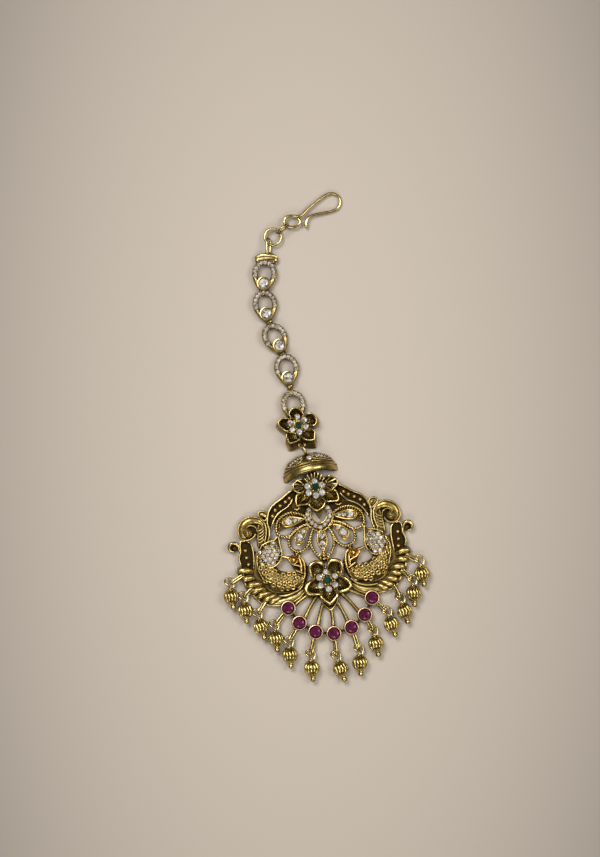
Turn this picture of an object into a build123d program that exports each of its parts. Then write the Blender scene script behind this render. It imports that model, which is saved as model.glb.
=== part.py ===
from build123d import *
import os
from collections import namedtuple
from math import atan2, cos, degrees, hypot, radians, sin, tan

# A hair jewel lying on its back: hook, chain, half bell and pendant. Millimetres, +Z up.
# Each flat shape is drawn in the frame of its own piece and raised from the back plane.

# Pendant
pendant_turn = 7.2          # degrees that the pendant is turned to the left
pendant_place = (0.25, -35.9)  # centre of its lower flower
plate_top = 1.1             # back plate
rim_top = 2.0               # raised strips round the leaves
body_top = 2.6              # peacock bodies, gadroons and bezels
petal_top = 3.4             # flower petals
boss_top = 2.9              # middle of each flower, below its green stone
strip_width = 0.55
ray_width = 0.65
head_place = (7.1, 6.0)     # peacock's head, in the pendant's own frame
head_radius = 1.35
wing_place = (13.2, 8.0)    # raised middle of its wing
wing_radius = 2.75
curl_place = (17.9, 14.1)   # ball inside its tail feather's curl
curl_radius = 1.3
gadroon_places = ((19.0, 4.9), (18.6, 3.2), (17.8, 1.5), (16.6, 0.0), (15.1, -1.2), (13.4, -2.3))
gadroon_radii = (1.6, 0.8)
gadroon_turn = 20.0         # degrees at the middle line's height
gadroon_fan = 6.0           # degrees less for each millimetre higher
arch_radius = 11.0          # the red stones lie on an arc of this radius
arch_centre_v = -2.3
arch_step = 24.0            # degrees between red stones
ruby_radius = 1.5
bezel_wall = 0.33
stone_gap = 0.05
green_radius = 0.85
green_height = 0.9
flower_boss = 2.9
girdle_share = 0.4          # straight part of a cut stone's height
table_share = 0.62          # radius of its flat top, over the stone's own

# Drops
bead_radius = 1.87
bead_hole = 0.4
pin_radius = 0.28
ball_radius = 0.72
loop_radius = 0.72
loop_wire = 0.19
loop_offset = 3.1           # bead centre to the centre of its pin's loop
lug_width = 0.8
lug_height = 2.1
lug_wall = 0.35
lug_middle = 1.75           # height of a lug's middle
lug_past = 0.15             # a lug ends this far past the loop's centre

# Chain
link_floor = 0.7            # an oval's underside, above the tongue of the link before it
link_top = 2.0
link_bezel = 1.5
link_stone = 1.08
link_bezel_top = 2.6
link_seat_depth = 1.2
tongue_top = 0.6
tongue_width = 1.6
tongue_short = 2.0          # a tongue ends this far before the middle of the next oval
hole_width = 1.45
hole_length = 1.6
bar_place = (-14.9, 44.45)  # bar across the first oval's top
bar_length = 5.7
bar_width = 2.4
bar_turn = -6.0
bar_top = 2.7
top_eye_start = (-14.5, 45.25)
top_eye_end = (-14.35, 49.6)

# Half bell
dome_place = (-3.75, -9.75)
dome_turn = 14.4
dome_radius = 7.3
dome_axis_depth = 2.3       # the bell's axis lies this far below the back plane
dome_band = 1.9
dome_rise = 6.7
dome_wall = 1.0
dome_lip = 0.4              # the band stands out this far past the shell above it
outer_shoulder = (5.0, 5.2)
inner_shoulder = (4.2, 4.4)
dome_slot = (0.2, 5.1)      # where the upper ring goes through the wall
ring_clearance = 0.14
inner_eye = (0.3, 3.7)      # middle of the eye inside
dome_stone_place = (0.4, 4.6)
dome_stone_seat = 4.1
dome_stone_radius = 0.8
dome_stone_lean = -38.0

# Flat eyes
eye_radius = 1.0
eye_hole = 0.55
eye_floor = 1.1
eye_height = 0.9
eye_root = 1.8
pendant_eye_v = 28.1
flower_eye = (-6.05, -2.15)
flower_eye_turn = 195.0

# Wire rings and hook
ring_wire = 0.32            # radius of the wire
flower_ring_height = 1.79   # middle of the ring above the half bell
round_ring = (-13.3, 50.15)
round_ring_radius = 2.1
hook_eye = (-8.65, 54.15)
hook_eye_radius = 1.95
hook_wire = 0.38
hook_height = 1.6           # middle of the wire at the eye
hook_drop = 4.6             # degrees that the hook falls from its eye to its bend
hook_bulb = 0.52
hook_line = ((-7.27, 55.53), (-5.9, 56.2), (1.2, 61.4), (3.6, 60.9), (3.3, 57.7), (0.6, 56.7),
             (-3.9, 56.0), (-5.15, 55.0), (-5.15, 53.1))
fillet_share = 0.45         # part of the shorter run that a bend takes
upper_ring_height = 2.15

Leaf = namedtuple("Leaf", "outline height")
Rib = namedtuple("Rib", "points width height")
Drop = namedtuple("Drop", "bead_u bead_v ball_u ball_v lug_u lug_v")
Link = namedtuple("Link", "hole_x hole_y stone_x stone_y")


def smooth(points, closed, steps=4):
    """Points on a curve that passes smoothly through the given ones."""
    count = len(points)
    spans = count if closed else count - 1
    result = []
    for i in range(spans):
        if closed:
            a, b, c, d = (points[(i + k) % count] for k in (-1, 0, 1, 2))
        else:
            b, c = points[i], points[i + 1]
            a = points[i - 1] if i else b
            d = points[i + 2] if i + 2 < count else c
        for step in range(steps):
            t = step / steps
            pulls = (
                -t + 2 * t**2 - t**3,
                2 - 5 * t**2 + 3 * t**3,
                t + 4 * t**2 - 3 * t**3,
                -(t**2) + t**3,
            )
            result.append(tuple(sum(k * p[axis] for k, p in zip(pulls, (a, b, c, d))) / 2 for axis in (0, 1)))
    return result if closed else result + [points[-1]]


def face(points):
    """A flat face that looks up, whichever way round its corners run."""
    twice_area = sum(a[0] * b[1] - b[0] * a[1] for a, b in zip(points, points[1:] + points[:1]))
    return Polygon(*(points if twice_area > 0 else reversed(points)), align=None)


def area(points):
    """A flat face inside a smooth closed outline."""
    return face(smooth(points, True))


def strip(points, width, closed=False):
    """A flat strip of even width along a smooth line."""
    line = smooth(points, closed)
    count = len(line)
    left, right = [], []
    for i, (x, y) in enumerate(line):
        back = line[i - 1] if closed or i else line[i]
        ahead = line[(i + 1) % count] if closed or i + 1 < count else line[i]
        run = (ahead[0] - back[0], ahead[1] - back[1])
        size = hypot(*run) / (width / 2)
        left.append((x - run[1] / size, y + run[0] / size))
        right.append((x + run[1] / size, y - run[0] / size))
    if closed:
        inner, outer = sorted((face(left), face(right)), key=lambda side: side.area)
        return outer - inner
    return face(left + right[::-1])


def flipped(points):
    """The same points on the other side of the pendant's middle line."""
    return [(-u, v) for u, v in points]


def relief(shapes):
    """One solid from flat shapes, each raised from the back plane to its own height."""
    solid = None
    floor = 0
    for top in sorted({height for _, height in shapes}):
        faces = [face for face, height in shapes if height >= top]
        merged = faces[0] + faces[1:]
        layer = Pos(0, 0, floor) * extrude(merged, top - floor)
        solid = layer if solid is None else solid + layer
        floor = top
    return solid


def turned(angle, radius):
    return (radius * cos(radians(angle)), radius * sin(radians(angle)))


def flower(centre_v, petals):
    """Flat shapes of one pendant flower: petal floors, petal rims and the boss in the middle."""
    shapes = []
    for petal in petals:
        outline = [(u, v + centre_v) for u, v in petal]
        shapes.append((area(outline), rim_top))
        shapes.append((strip(outline, strip_width, True), petal_top))
    shapes.append((Pos(0, centre_v) * Circle(flower_boss), boss_top))
    return shapes


# Petal outlines round a flower's own centre
low_petals_right = (
    [(0.5, 2.6), (1.2, 4.2), (3.0, 4.2), (4.0, 3.0), (3.6, 1.2), (2.2, 1.0)],
    [(2.4, 0.1), (4.2, 0.0), (5.3, -1.2), (5.5, -2.6), (4.2, -3.1), (2.2, -2.4)],
)
low_petal_middle = [(-1.6, -2.6), (0, -2.2), (1.6, -2.6), (1.7, -4.2), (0, -5.9), (-1.7, -4.2)]
high_petals_right = (
    [(0.2, 1.4), (0.15, 2.7), (0.8, 3.3), (1.7, 2.6), (1.8, 1.4), (1.0, 0.8)],
    [(1.9, 1.1), (3.0, 1.9), (4.5, 1.4), (5.2, 0.2), (4.8, -0.8), (2.6, -0.9)],
    [(2.3, -1.5), (4.3, -1.6), (5.3, -2.6), (5.2, -4.2), (2.6, -4.4), (1.6, -3.0)],
)
high_petal_middle = [(-1.9, -3.4), (0, -2.6), (1.9, -3.4), (1.4, -5.0), (0, -5.8), (-1.4, -5.0)]
high_flower_v = 23.65

# Right half of the pendant, as smooth outlines and lines; the left half mirrors it
leaves = (
    Leaf([(4.9, 23.4), (6.6, 22.9), (9.0, 21.3), (11.6, 19.9), (12.9, 18.2), (13.1, 16.0), (12.5, 14.3),
          (11.2, 16.4), (9.6, 18.0), (7.0, 19.4), (5.4, 20.6)], plate_top),
    Leaf([(13.0, 18.4), (13.7, 19.0), (14.6, 18.6), (14.5, 17.5), (13.3, 16.5), (12.7, 17.2)], plate_top),
    Leaf([(12.6, 10.6), (13.5, 11.6), (12.8, 13.4), (12.6, 15.2), (13.2, 16.8), (15.0, 17.8), (17.2, 17.7),
          (19.0, 16.5), (19.8, 14.6), (19.4, 12.7), (18.0, 12.1), (16.6, 12.7), (15.9, 12.2), (16.0, 10.6),
          (15.2, 9.6)], plate_top),
    Leaf([(10.5, 8.2), (10.6, 10.2), (11.2, 12.0), (12.4, 11.6), (14.3, 10.9), (15.8, 9.4), (15.9, 7.4),
          (15.0, 5.8), (13.2, 5.1), (11.4, 5.9)], plate_top),
    Leaf([(16.6, 11.0), (17.4, 12.0), (19.9, 12.1), (20.0, 9.9), (20.6, 8.0), (20.3, 5.6), (18.6, 4.6),
          (16.6, 4.4), (15.9, 6.4), (15.9, 8.8)], plate_top),
    Leaf([(20.1, 9.6), (20.1, 10.9), (21.2, 11.9), (22.3, 11.1), (21.9, 9.8), (20.9, 9.3)], rim_top),
    Leaf([(5.9, 6.6), (7.2, 7.2), (8.6, 6.7), (9.9, 7.1), (10.9, 7.4), (10.8, 6.2), (9.0, 5.6), (8.2, 4.4),
          (7.9, 3.2), (9.6, 3.2), (11.4, 3.9), (12.6, 5.6), (15.8, 6.9), (16.6, 4.6), (15.6, 1.4), (13.6, -0.6),
          (10.7, -1.5), (7.4, -1.5), (5.6, 0.2), (4.6, 2.2), (4.5, 4.4)], plate_top),
    Leaf([(5.9, 2.3), (7.2, 3.1), (9.6, 3.1), (11.6, 4.0), (12.8, 5.2), (15.6, 5.6), (15.3, 2.8), (13.6, 0.1),
          (10.7, -1.0), (7.6, -0.8)], body_top),
    Leaf([(20.9, 5.9), (21.4, 4.9), (20.4, 2.6), (19.7, 0.1), (18.0, -2.0), (16.4, -3.6), (12.9, -4.3),
          (9.3, -4.1), (7.0, -2.5), (5.3, -0.2), (6.6, -1.0), (10.7, -1.9), (13.9, -1.3), (16.2, 1.2),
          (17.5, 4.2), (18.6, 5.4)], plate_top),
    Leaf([(16.2, 12.0), (17.6, 13.2), (19.4, 12.4), (17.4, 11.6)], plate_top),
    Leaf([(2.6, 17.9), (4.6, 19.6), (7.6, 19.3), (9.6, 18.0), (11.0, 16.4), (10.9, 15.8), (7.2, 16.9),
          (4.4, 16.9)], plate_top),
    Leaf([(2.6, 15.6), (5.6, 16.4), (7.4, 16.7), (8.9, 15.9), (9.0, 14.7), (7.6, 14.5), (5.6, 15.1)], rim_top),
    Leaf([(3.4, 13.9), (4.7, 13.4), (6.5, 12.5), (6.5, 10.8), (5.9, 9.9), (4.8, 10.4), (4.2, 11.8)], rim_top),
    Leaf([(5.9, 8.4), (7.4, 8.2), (7.0, 6.7), (5.9, 6.6)], plate_top),
    Leaf([(9.7, 12.4), (11.3, 13.0), (11.6, 11.8), (10.7, 11.2)], plate_top),
    Leaf([(4.6, 21.4), (6.4, 21.2), (6.3, 18.6), (4.6, 18.8)], plate_top),
    Leaf([(3.6, 0.6), (4.5, 0.4), (6.3, -0.8), (6.2, -2.6), (5.2, -3.2), (3.6, -2.2)], plate_top),
    Leaf([(0, -3.6), (3.4, -2.6), (5.8, -3.1), (4.2, -4.1), (2.4, -4.4), (1.6, -6.4), (0, -7.5)], plate_top),
    Leaf([(0.3, 5.2), (1.0, 4.9), (2.2, 4.4), (1.8, 3.2), (0.8, 3.2), (0.6, 4.2)], plate_top),
)
lines = (
    Rib([(5.4, 23.3), (6.6, 22.9), (8.9, 21.35), (11.5, 19.9), (12.75, 18.2), (12.95, 16.1), (12.6, 14.4)],
         strip_width, rim_top),
    Rib([(5.9, 21.6), (7.1, 19.55), (9.7, 18.1), (11.2, 16.5), (12.3, 14.6)], 0.4, rim_top),
    Rib([(14.1, 11.2), (13.0, 13.3), (12.9, 15.4), (13.8, 17.1), (15.6, 17.7), (17.6, 17.3), (19.1, 15.9),
          (19.6, 14.1), (18.9, 12.7), (17.4, 12.6), (16.3, 13.6)], strip_width, rim_top),
    Rib([(17.7, 11.7), (17.0, 9.8), (17.0, 7.1), (17.3, 4.9)], 0.45, rim_top),
    Rib([(19.7, 11.8), (19.7, 9.8), (20.3, 8.0), (20.0, 5.6)], 0.5, rim_top),
    Rib([(6.2, 6.9), (4.9, 5.4), (4.8, 3.6), (5.1, 2.2), (5.8, 0.6), (6.4, -0.7)], 0.6, rim_top),
    Rib([(10.7, 7.4), (11.0, 9.6), (11.4, 11.6)], 0.5, body_top),
    Rib([(4.6, 17.1), (7.2, 17.4), (10.0, 16.6), (10.9, 14.9), (10.2, 12.6), (8.1, 12.0), (5.2, 13.7),
         (3.0, 14.3)], 0.7, rim_top),
    Rib([(2.6, 14.0), (4.9, 13.3), (7.2, 12.1), (7.95, 9.9), (6.4, 8.2), (4.0, 8.6), (3.0, 10.8), (2.1, 12.9)],
         0.65, rim_top),
    Rib([(1.9, 12.7), (2.7, 10.6), (2.6, 8.6), (1.7, 6.8), (0.7, 5.5)], 0.6, rim_top),
    Rib([(1.3, 18.3), (2.7, 17.4), (2.7, 15.8), (1.7, 13.9), (0, 13.0)], 1.5, rim_top),
)
ray_ends = (  # inner u, inner v, then outer u, outer v
    (1.4, -4.0, 3.8, -10.9),
    (3.4, -3.2, 6.75, -8.7),
    (5.0, -2.6, 8.9, -5.25),
)
middle_ray = [(0, -5.5), (0, -11.8)]
marquise_rim = [(0, 12.9), (0.95, 10.6), (0, 7.0), (-0.95, 10.6)]
marquise_rim_width = 0.35
marquise = [(0, 12.8), (0.9, 11.2), (0.8, 9.2), (0, 7.2), (-0.8, 9.2), (-0.9, 11.2)]
knot = [(-0.9, 6.9), (0.9, 6.9), (1.2, 6.0), (0.7, 5.0), (-0.7, 5.0), (-1.2, 6.0)]

# Side lugs first, then one drop for each red stone, from left to right
drops = (
    Drop(-24.05, -1.1, -23.95, -3.75, -20.4, 3.7),
    Drop(-21.1, -4.95, -21.05, -7.6, -18.8, 0.2),
    Drop(-17.7, -9.4, -17.25, -12.1, -16.0, -3.5),
    Drop(-14.45, -12.8, -14.45, -15.5, None, None),
    Drop(-11.5, -17.2, -11.6, -19.9, None, None),
    Drop(-6.5, -21.1, -6.55, -23.8, None, None),
    Drop(0.5, -22.1, 1.1, -24.8, None, None),
    Drop(5.45, -21.3, 5.35, -24.0, None, None),
    Drop(10.0, -17.1, 10.25, -19.8, None, None),
    Drop(14.4, -12.8, 15.0, -15.45, None, None),
    Drop(18.0, -10.0, 18.5, -12.7, 16.2, -3.4),
    Drop(20.85, -5.9, 20.8, -8.65, 18.8, 0.2),
    Drop(23.55, -1.35, 23.75, -4.05, 20.4, 3.7),
)

# Oval middle and stone of each chain link, from the top, then the oval under the chain flower
links = (
    Link(-15.4, 40.95, -15.6, 38.3),
    Link(-15.3, 33.3, -14.9, 30.65),
    Link(-12.9, 25.0, -11.6, 22.65),
    Link(-9.9, 17.2, -9.45, 14.55),
)
last_oval = (-8.2, 8.1)
last_oval_turn = 10.0
oval_outline = [(0, 3.2), (2.1, 2.4), (2.9, 0.2), (2.5, -2.2), (1.7, -3.8), (0, -4.4),
                (-1.7, -3.8), (-2.5, -2.2), (-2.9, 0.2), (-2.1, 2.4)]
chain_flower_place = (-7.0, 2.4)
chain_flower_turn = 12.0
chain_petal_floor = 2.2
chain_petal_rim = 3.7
chain_boss_radius = 2.7
chain_boss_top = 3.0
chain_petal = [(0.9, 1.6), (1.9, 3.1), (1.8, 4.5), (0, 5.3), (-1.8, 4.5), (-1.9, 3.1), (-0.9, 1.6), (0, 1.2)]


def bezel(radius, wall, top):
    """Flat shapes of a round stone setting: its floor and its wall."""
    return [(Circle(radius + wall), plate_top), (Circle(radius + wall) - Circle(radius + stone_gap), top)]


def placed(shapes, place):
    return [(place * face, height) for face, height in shapes]


def ruby_places():
    """Middles of the red stones along the arch, from left to right."""
    return [turned(-90 + arch_step * k, arch_radius) for k in range(-3, 4)]


def drop_run(drop):
    """Middle of the pin's loop, and the unit run from the loop to the ball."""
    run = (drop.ball_u - drop.bead_u, drop.ball_v - drop.bead_v)
    size = hypot(*run)
    run = (run[0] / size, run[1] / size)
    return (drop.bead_u - run[0] * loop_offset, drop.bead_v - run[1] * loop_offset), run


def lug(start, end):
    """An upright slotted eye from the frame's edge to a loop's middle."""
    length = hypot(end[0] - start[0], end[1] - start[1]) + lug_past
    turn = degrees(atan2(end[1] - start[1], end[0] - start[0]))
    outer = SlotOverall(length, lug_height)
    inner = SlotOverall(length - 2 * lug_wall, lug_height - 2 * lug_wall)
    eye = Rot(90, 0, 0) * extrude(outer - inner, lug_width / 2, both=True)
    return Pos(start[0], start[1], lug_middle) * Rot(0, 0, turn) * Pos(length / 2, 0, 0) * eye


def pendant():
    """The soldered casting, in its own frame with the lower flower's centre at the origin."""
    shapes = []
    for leaf in leaves:
        shapes.append((area(leaf.outline), leaf.height))
        shapes.append((area(flipped(leaf.outline)), leaf.height))
    for line in lines:
        shapes.append((strip(line.points, line.width), line.height))
        shapes.append((strip(flipped(line.points), line.width), line.height))
    for side in (1, -1):
        for (u, v), radius, height in (
            (head_place, head_radius, body_top),
            (wing_place, wing_radius, petal_top),
            (curl_place, curl_radius, body_top),
        ):
            shapes.append((Pos(u * side, v) * Circle(radius), height))
        for u, v in gadroon_places:
            turn = Rot(0, 0, (gadroon_turn - gadroon_fan * v) * side)
            shapes.append((Pos(u * side, v) * turn * Ellipse(*gadroon_radii), body_top))
        for u0, v0, u1, v1 in ray_ends:
            shapes.append((strip([(u0 * side, v0), (u1 * side, v1)], ray_width), rim_top))
    shapes.append((strip(middle_ray, ray_width), rim_top))
    shapes.append((strip(marquise_rim, marquise_rim_width, True), rim_top))
    shapes.append((area(marquise), plate_top))
    shapes.append((area(knot), rim_top))
    shapes += flower(0, [*low_petals_right, *(flipped(p) for p in low_petals_right), low_petal_middle])
    high_petals_left = [flipped(petal) for petal in high_petals_right]
    shapes += flower(high_flower_v, [*high_petals_right, *high_petals_left, high_petal_middle])
    for u, v in ruby_places():
        shapes += placed(bezel(ruby_radius, bezel_wall, body_top), Pos(u, v + arch_centre_v))
    solder = [Pos(0, pendant_eye_v, eye_floor) * eye_plate()]
    middles = [(u, v + arch_centre_v) for u, v in ruby_places()]
    for drop in drops:
        loop, _ = drop_run(drop)
        start = (drop.lug_u, drop.lug_v)
        if drop.lug_u is None:
            middle = min(middles, key=lambda m: hypot(m[0] - loop[0], m[1] - loop[1]))
            reach = (ruby_radius + bezel_wall / 2) / hypot(loop[0] - middle[0], loop[1] - middle[1])
            start = tuple(m + (end - m) * reach for m, end in zip(middle, loop))
        solder.append(lug(start, loop))
    return relief(shapes) + solder


def eye_plate():
    """A flat eye whose root runs down -Y."""
    flat = Circle(eye_radius) + Pos(0, -eye_root / 2) * Rectangle(2 * eye_radius, eye_root) - Circle(eye_hole)
    return extrude(flat, eye_height)


def stone(radius, height):
    """A cut stone: straight girdle below, sloping crown above."""
    girdle = (radius, girdle_share * height)
    profile = Polyline((0, 0), (radius, 0), girdle, (table_share * radius, height), (0, height), (0, 0))
    return revolve(Plane.XZ * make_face(profile), Axis.Z)


def bead():
    """A round bead with a hole for its pin along Y."""
    return Sphere(bead_radius) - Rot(90, 0, 0) * Cylinder(bead_hole, 3 * bead_radius)


def head_pin(run_length):
    """Loop, wire and ball of a head pin along -Y, with the loop's middle at the origin."""
    loop = Torus(loop_radius, loop_wire)
    ball = Pos(0, -run_length, 0) * Sphere(ball_radius)
    wire_length = run_length - loop_radius
    wire = Pos(0, -loop_radius - wire_length / 2, 0) * Rot(90, 0, 0) * Cylinder(pin_radius, wire_length)
    return loop + wire + ball


def chain_link(link, next_hole, with_bar):
    """An oval with a bezel below it and a tongue that reaches under the next oval."""
    axis_turn = degrees(atan2(link.stone_y - link.hole_y, link.stone_x - link.hole_x)) + 90
    reach = hypot(link.stone_x - link.hole_x, link.stone_y - link.hole_y)
    here = Pos(link.hole_x, link.hole_y) * Rot(0, 0, axis_turn)
    oval = area(oval_outline) - Ellipse(hole_width, hole_length)
    body = Pos(0, 0, link_floor) * extrude(oval, link_top - link_floor)
    foot = extrude(Pos(0, -reach) * Circle(link_bezel), plate_top)
    wall = extrude(Pos(0, -reach) * (Circle(link_bezel) - Circle(link_stone + stone_gap)), link_bezel_top)
    seat = extrude(Pos(0, -reach) * Circle(link_bezel), link_bezel_top - link_seat_depth)
    bore = extrude(Circle(link_stone + stone_gap), link_bezel_top)
    well = Pos(0, -reach, link_bezel_top - link_seat_depth) * bore
    solid = here * (body + foot + wall + seat - well)
    run = (next_hole[0] - link.stone_x, next_hole[1] - link.stone_y)
    length = hypot(*run) - tongue_short
    turn = degrees(atan2(run[1], run[0]))
    tongue = Pos(length / 2, 0) * Rectangle(length, tongue_width)
    solid += extrude(Pos(link.stone_x, link.stone_y) * Rot(0, 0, turn) * tongue, tongue_top)
    if with_bar:
        solid += bar_and_eye()
    return solid


def bar_and_eye():
    """The bar across the first link's top, and the upright eye that the round ring goes through."""
    bar = Pos(*bar_place) * Rot(0, 0, bar_turn) * SlotOverall(bar_length, bar_width)
    return extrude(bar, bar_top) + lug(top_eye_start, top_eye_end)


def chain_flower():
    """The last oval with the five-petalled flower soldered over its lower end."""
    oval = area(oval_outline) - Ellipse(hole_width, hole_length)
    solid = Pos(*last_oval, link_floor) * Rot(0, 0, last_oval_turn) * extrude(oval, link_top - link_floor)
    shapes = []
    for k in range(5):
        turn = Rot(0, 0, chain_flower_turn + 72 * k)
        shapes.append((turn * area(chain_petal), chain_petal_floor))
        shapes.append((turn * strip(chain_petal, strip_width, True), chain_petal_rim))
    shapes.append((Circle(chain_boss_radius), chain_boss_top))
    flower_solid = Pos(*chain_flower_place, 0) * relief(shapes)
    eye = Pos(*flower_eye, eye_floor) * Rot(0, 0, flower_eye_turn) * eye_plate()
    return solid + flower_solid + eye


def dome():
    """Half bell: a shell of revolution cut off at the back plane, slotted for a ring, with an eye inside."""
    inner = dome_radius - dome_wall
    outer_arc = ThreePointArc((dome_radius - dome_lip, dome_band), outer_shoulder, (0, dome_rise))
    inner_arc = ThreePointArc((0, dome_rise - dome_wall), inner_shoulder, (inner - dome_lip, dome_band))
    wire = [
        Line((0, dome_rise - dome_wall), (0, dome_rise)),
        outer_arc,
        Line((dome_radius - dome_lip, dome_band), (dome_radius, dome_band)),
        Line((dome_radius, dome_band), (dome_radius, 0)),
        Line((dome_radius, 0), (inner, 0)),
        Line((inner, 0), (inner, dome_band)),
        Line((inner, dome_band), (inner - dome_lip, dome_band)),
        inner_arc,
    ]
    shell = Pos(0, 0, -dome_axis_depth) * revolve(make_face(Wire(wire)), Axis.Y)
    above = Pos(0, 0, dome_radius) * Box(4 * dome_radius, 4 * dome_radius, 2 * dome_radius)
    half = shell & above
    inside = Pos(*inner_eye, eye_floor) * Rot(0, 0, 180) * eye_plate()
    return Pos(*dome_place) * Rot(0, 0, dome_turn) * (half + inside) - flower_ring(ring_wire + ring_clearance)


def flower_ring(wire):
    """The upright ring between the chain flower and the half bell."""
    return upright_ring(flower_eye, in_dome(*dome_slot), flower_ring_height, wire)


def upright_ring(start, end, height, wire=ring_wire, past=0.0):
    """A wire ring standing on edge over the run from one point to another."""
    radius = hypot(end[0] - start[0], end[1] - start[1]) / 2 + past
    turn = degrees(atan2(end[1] - start[1], end[0] - start[0]))
    middle = ((start[0] + end[0]) / 2, (start[1] + end[1]) / 2, height)
    return Pos(*middle) * Rot(0, 0, turn) * Rot(90, 0, 0) * Torus(radius, wire)


def bent_wire(points, radius):
    """A round wire along straight runs joined by tangent bends as large as the runs allow."""
    bends = []
    for before, corner, after in zip(points, points[1:], points[2:]):
        run_in = Vector(corner[0] - before[0], corner[1] - before[1])
        run_out = Vector(after[0] - corner[0], after[1] - corner[1])
        turn = radians(run_in.get_angle(run_out))
        bends.append(fillet_share * min(run_in.length, run_out.length) / tan(turn / 2))
    path = FilletPolyline(*points, radius=bends)
    start = Plane(origin=path @ 0, z_dir=path % 0)
    return sweep(start * Circle(radius), path)


def hook():
    """The hook and its eye, made flat and then lowered from the eye to the bend."""
    flat = bent_wire(hook_line, hook_wire) + Pos(*hook_eye, 0) * Torus(hook_eye_radius, hook_wire)
    flat += Pos(*hook_line[-1], 0) * Sphere(hook_bulb)
    lean_axis = Axis(origin=(*hook_eye, 0), direction=(0, 1, 0))
    return Pos(0, 0, hook_height) * flat.rotate(lean_axis, hook_drop)


def in_dome(x, y):
    """Where a point of the half bell's own frame lies."""
    return tuple((Pos(*dome_place) * Rot(0, 0, dome_turn) * Pos(x, y)).position)[:2]


def in_pendant(u, v):
    """Where a point of the pendant's own frame lies."""
    return tuple((Pos(*pendant_place) * Rot(0, 0, pendant_turn) * Pos(u, v)).position)[:2]


def assemble():
    """Every piece in its place, by name."""
    pieces = {"hook": hook()}
    toward = (hook_eye[0] - round_ring[0], hook_eye[1] - round_ring[1])
    apart = hypot(*toward)
    near = tuple(c + t * round_ring_radius / apart for c, t in zip(round_ring, toward))
    far = tuple(c - t * hook_eye_radius / apart for c, t in zip(hook_eye, toward))
    pieces["ring_upper"] = upright_ring(near, far, upper_ring_height, past=ring_wire + hook_wire + stone_gap)
    pieces["ring_round"] = Pos(*round_ring, hook_height) * Torus(round_ring_radius, ring_wire)

    holes = [(link.hole_x, link.hole_y) for link in links[1:]] + [last_oval]
    for number, (link, next_hole) in enumerate(zip(links, holes), 1):
        pieces[f"chain_link_{number}"] = chain_link(link, next_hole, number == 1)
        seat = link_bezel_top - link_seat_depth + stone_gap
        cut = stone(link_stone, link_seat_depth)
        pieces[f"link_stone_{number}"] = Pos(link.stone_x, link.stone_y, seat) * cut
    pieces["flower_link"] = chain_flower()
    seat = chain_boss_top + stone_gap
    pieces["green_stone_chain"] = Pos(*chain_flower_place, seat) * stone(green_radius, green_height)

    pieces["ring_flower"] = flower_ring(ring_wire)
    pieces["dome_cap"] = dome()
    stone_stand = Pos(*in_dome(*dome_stone_place), dome_stone_seat) * Rot(dome_stone_lean, 0, 0)
    pieces["dome_stone"] = stone_stand * stone(dome_stone_radius, dome_stone_radius)
    eyes = (in_dome(*inner_eye), in_pendant(0, pendant_eye_v))
    pieces["ring_dome"] = upright_ring(*eyes, eye_floor + eye_height / 2)

    place = Pos(*pendant_place) * Rot(0, 0, pendant_turn)
    pieces["pendant_frame"] = place * pendant()
    for number, (u, v) in enumerate(ruby_places(), 1):
        ruby = Pos(u, v + arch_centre_v, plate_top + stone_gap) * stone(ruby_radius, body_top - plate_top)
        pieces[f"ruby_{number}"] = place * ruby
    for name, v in (("green_stone_bottom", 0), ("green_stone_top", high_flower_v)):
        pieces[name] = place * Pos(0, v, boss_top + stone_gap) * stone(green_radius, green_height)
    for number, drop in enumerate(drops, 1):
        loop, run = drop_run(drop)
        turn = Rot(0, 0, degrees(atan2(run[1], run[0])) + 90)
        pieces[f"drop_bead_{number}"] = place * Pos(drop.bead_u, drop.bead_v, bead_radius) * turn * bead()
        length = hypot(drop.ball_u - loop[0], drop.ball_v - loop[1])
        pieces[f"drop_pin_{number}"] = place * Pos(*loop, bead_radius) * turn * head_pin(length)
    return pieces


pieces = assemble()
box = Compound(children=[Compound(piece.solids()) for piece in pieces.values()]).bounding_box()
centred = Pos(-box.center().X, -box.center().Y, -box.min.Z)
os.makedirs("parts", exist_ok=True)
for name, piece in pieces.items():
    export_step(centred * piece, f"parts/{name}.step")
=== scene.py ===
import random
from math import atan2, cos, hypot, pi, radians, sin

import bmesh
import bpy
import numpy
from mathutils import Matrix, Vector, noise
from mathutils.bvhtree import BVHTree


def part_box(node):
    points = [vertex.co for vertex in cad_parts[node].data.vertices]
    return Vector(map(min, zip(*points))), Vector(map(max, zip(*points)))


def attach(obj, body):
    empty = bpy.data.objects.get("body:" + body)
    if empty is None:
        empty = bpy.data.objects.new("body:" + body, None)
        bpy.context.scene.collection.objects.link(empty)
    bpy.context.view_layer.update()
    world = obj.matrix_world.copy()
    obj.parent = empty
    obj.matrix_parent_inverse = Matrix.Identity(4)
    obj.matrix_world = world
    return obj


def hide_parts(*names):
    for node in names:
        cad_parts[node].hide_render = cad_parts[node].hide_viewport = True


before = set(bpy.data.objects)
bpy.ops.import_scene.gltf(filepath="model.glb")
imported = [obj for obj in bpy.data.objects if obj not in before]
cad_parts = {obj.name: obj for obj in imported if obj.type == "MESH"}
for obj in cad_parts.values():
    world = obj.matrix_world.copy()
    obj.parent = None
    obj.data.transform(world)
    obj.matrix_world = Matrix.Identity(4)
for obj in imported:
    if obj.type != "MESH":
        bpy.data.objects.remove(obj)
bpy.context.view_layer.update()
random.seed(7)

# Shapes are given in millimetres, and the places below turn them into metres.
up = Vector((0, 0, 1))
layout = dict(
    pendantPlace=(0.25, -35.9),  # lower flower's middle, from the chain's own origin
    leftSpread=0.05,             # the left bird stands a little wider than the right one
    leftFrom=12.0,
)


def nodeMiddle(node):
    low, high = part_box(node)
    return (low + high) / 2


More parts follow.
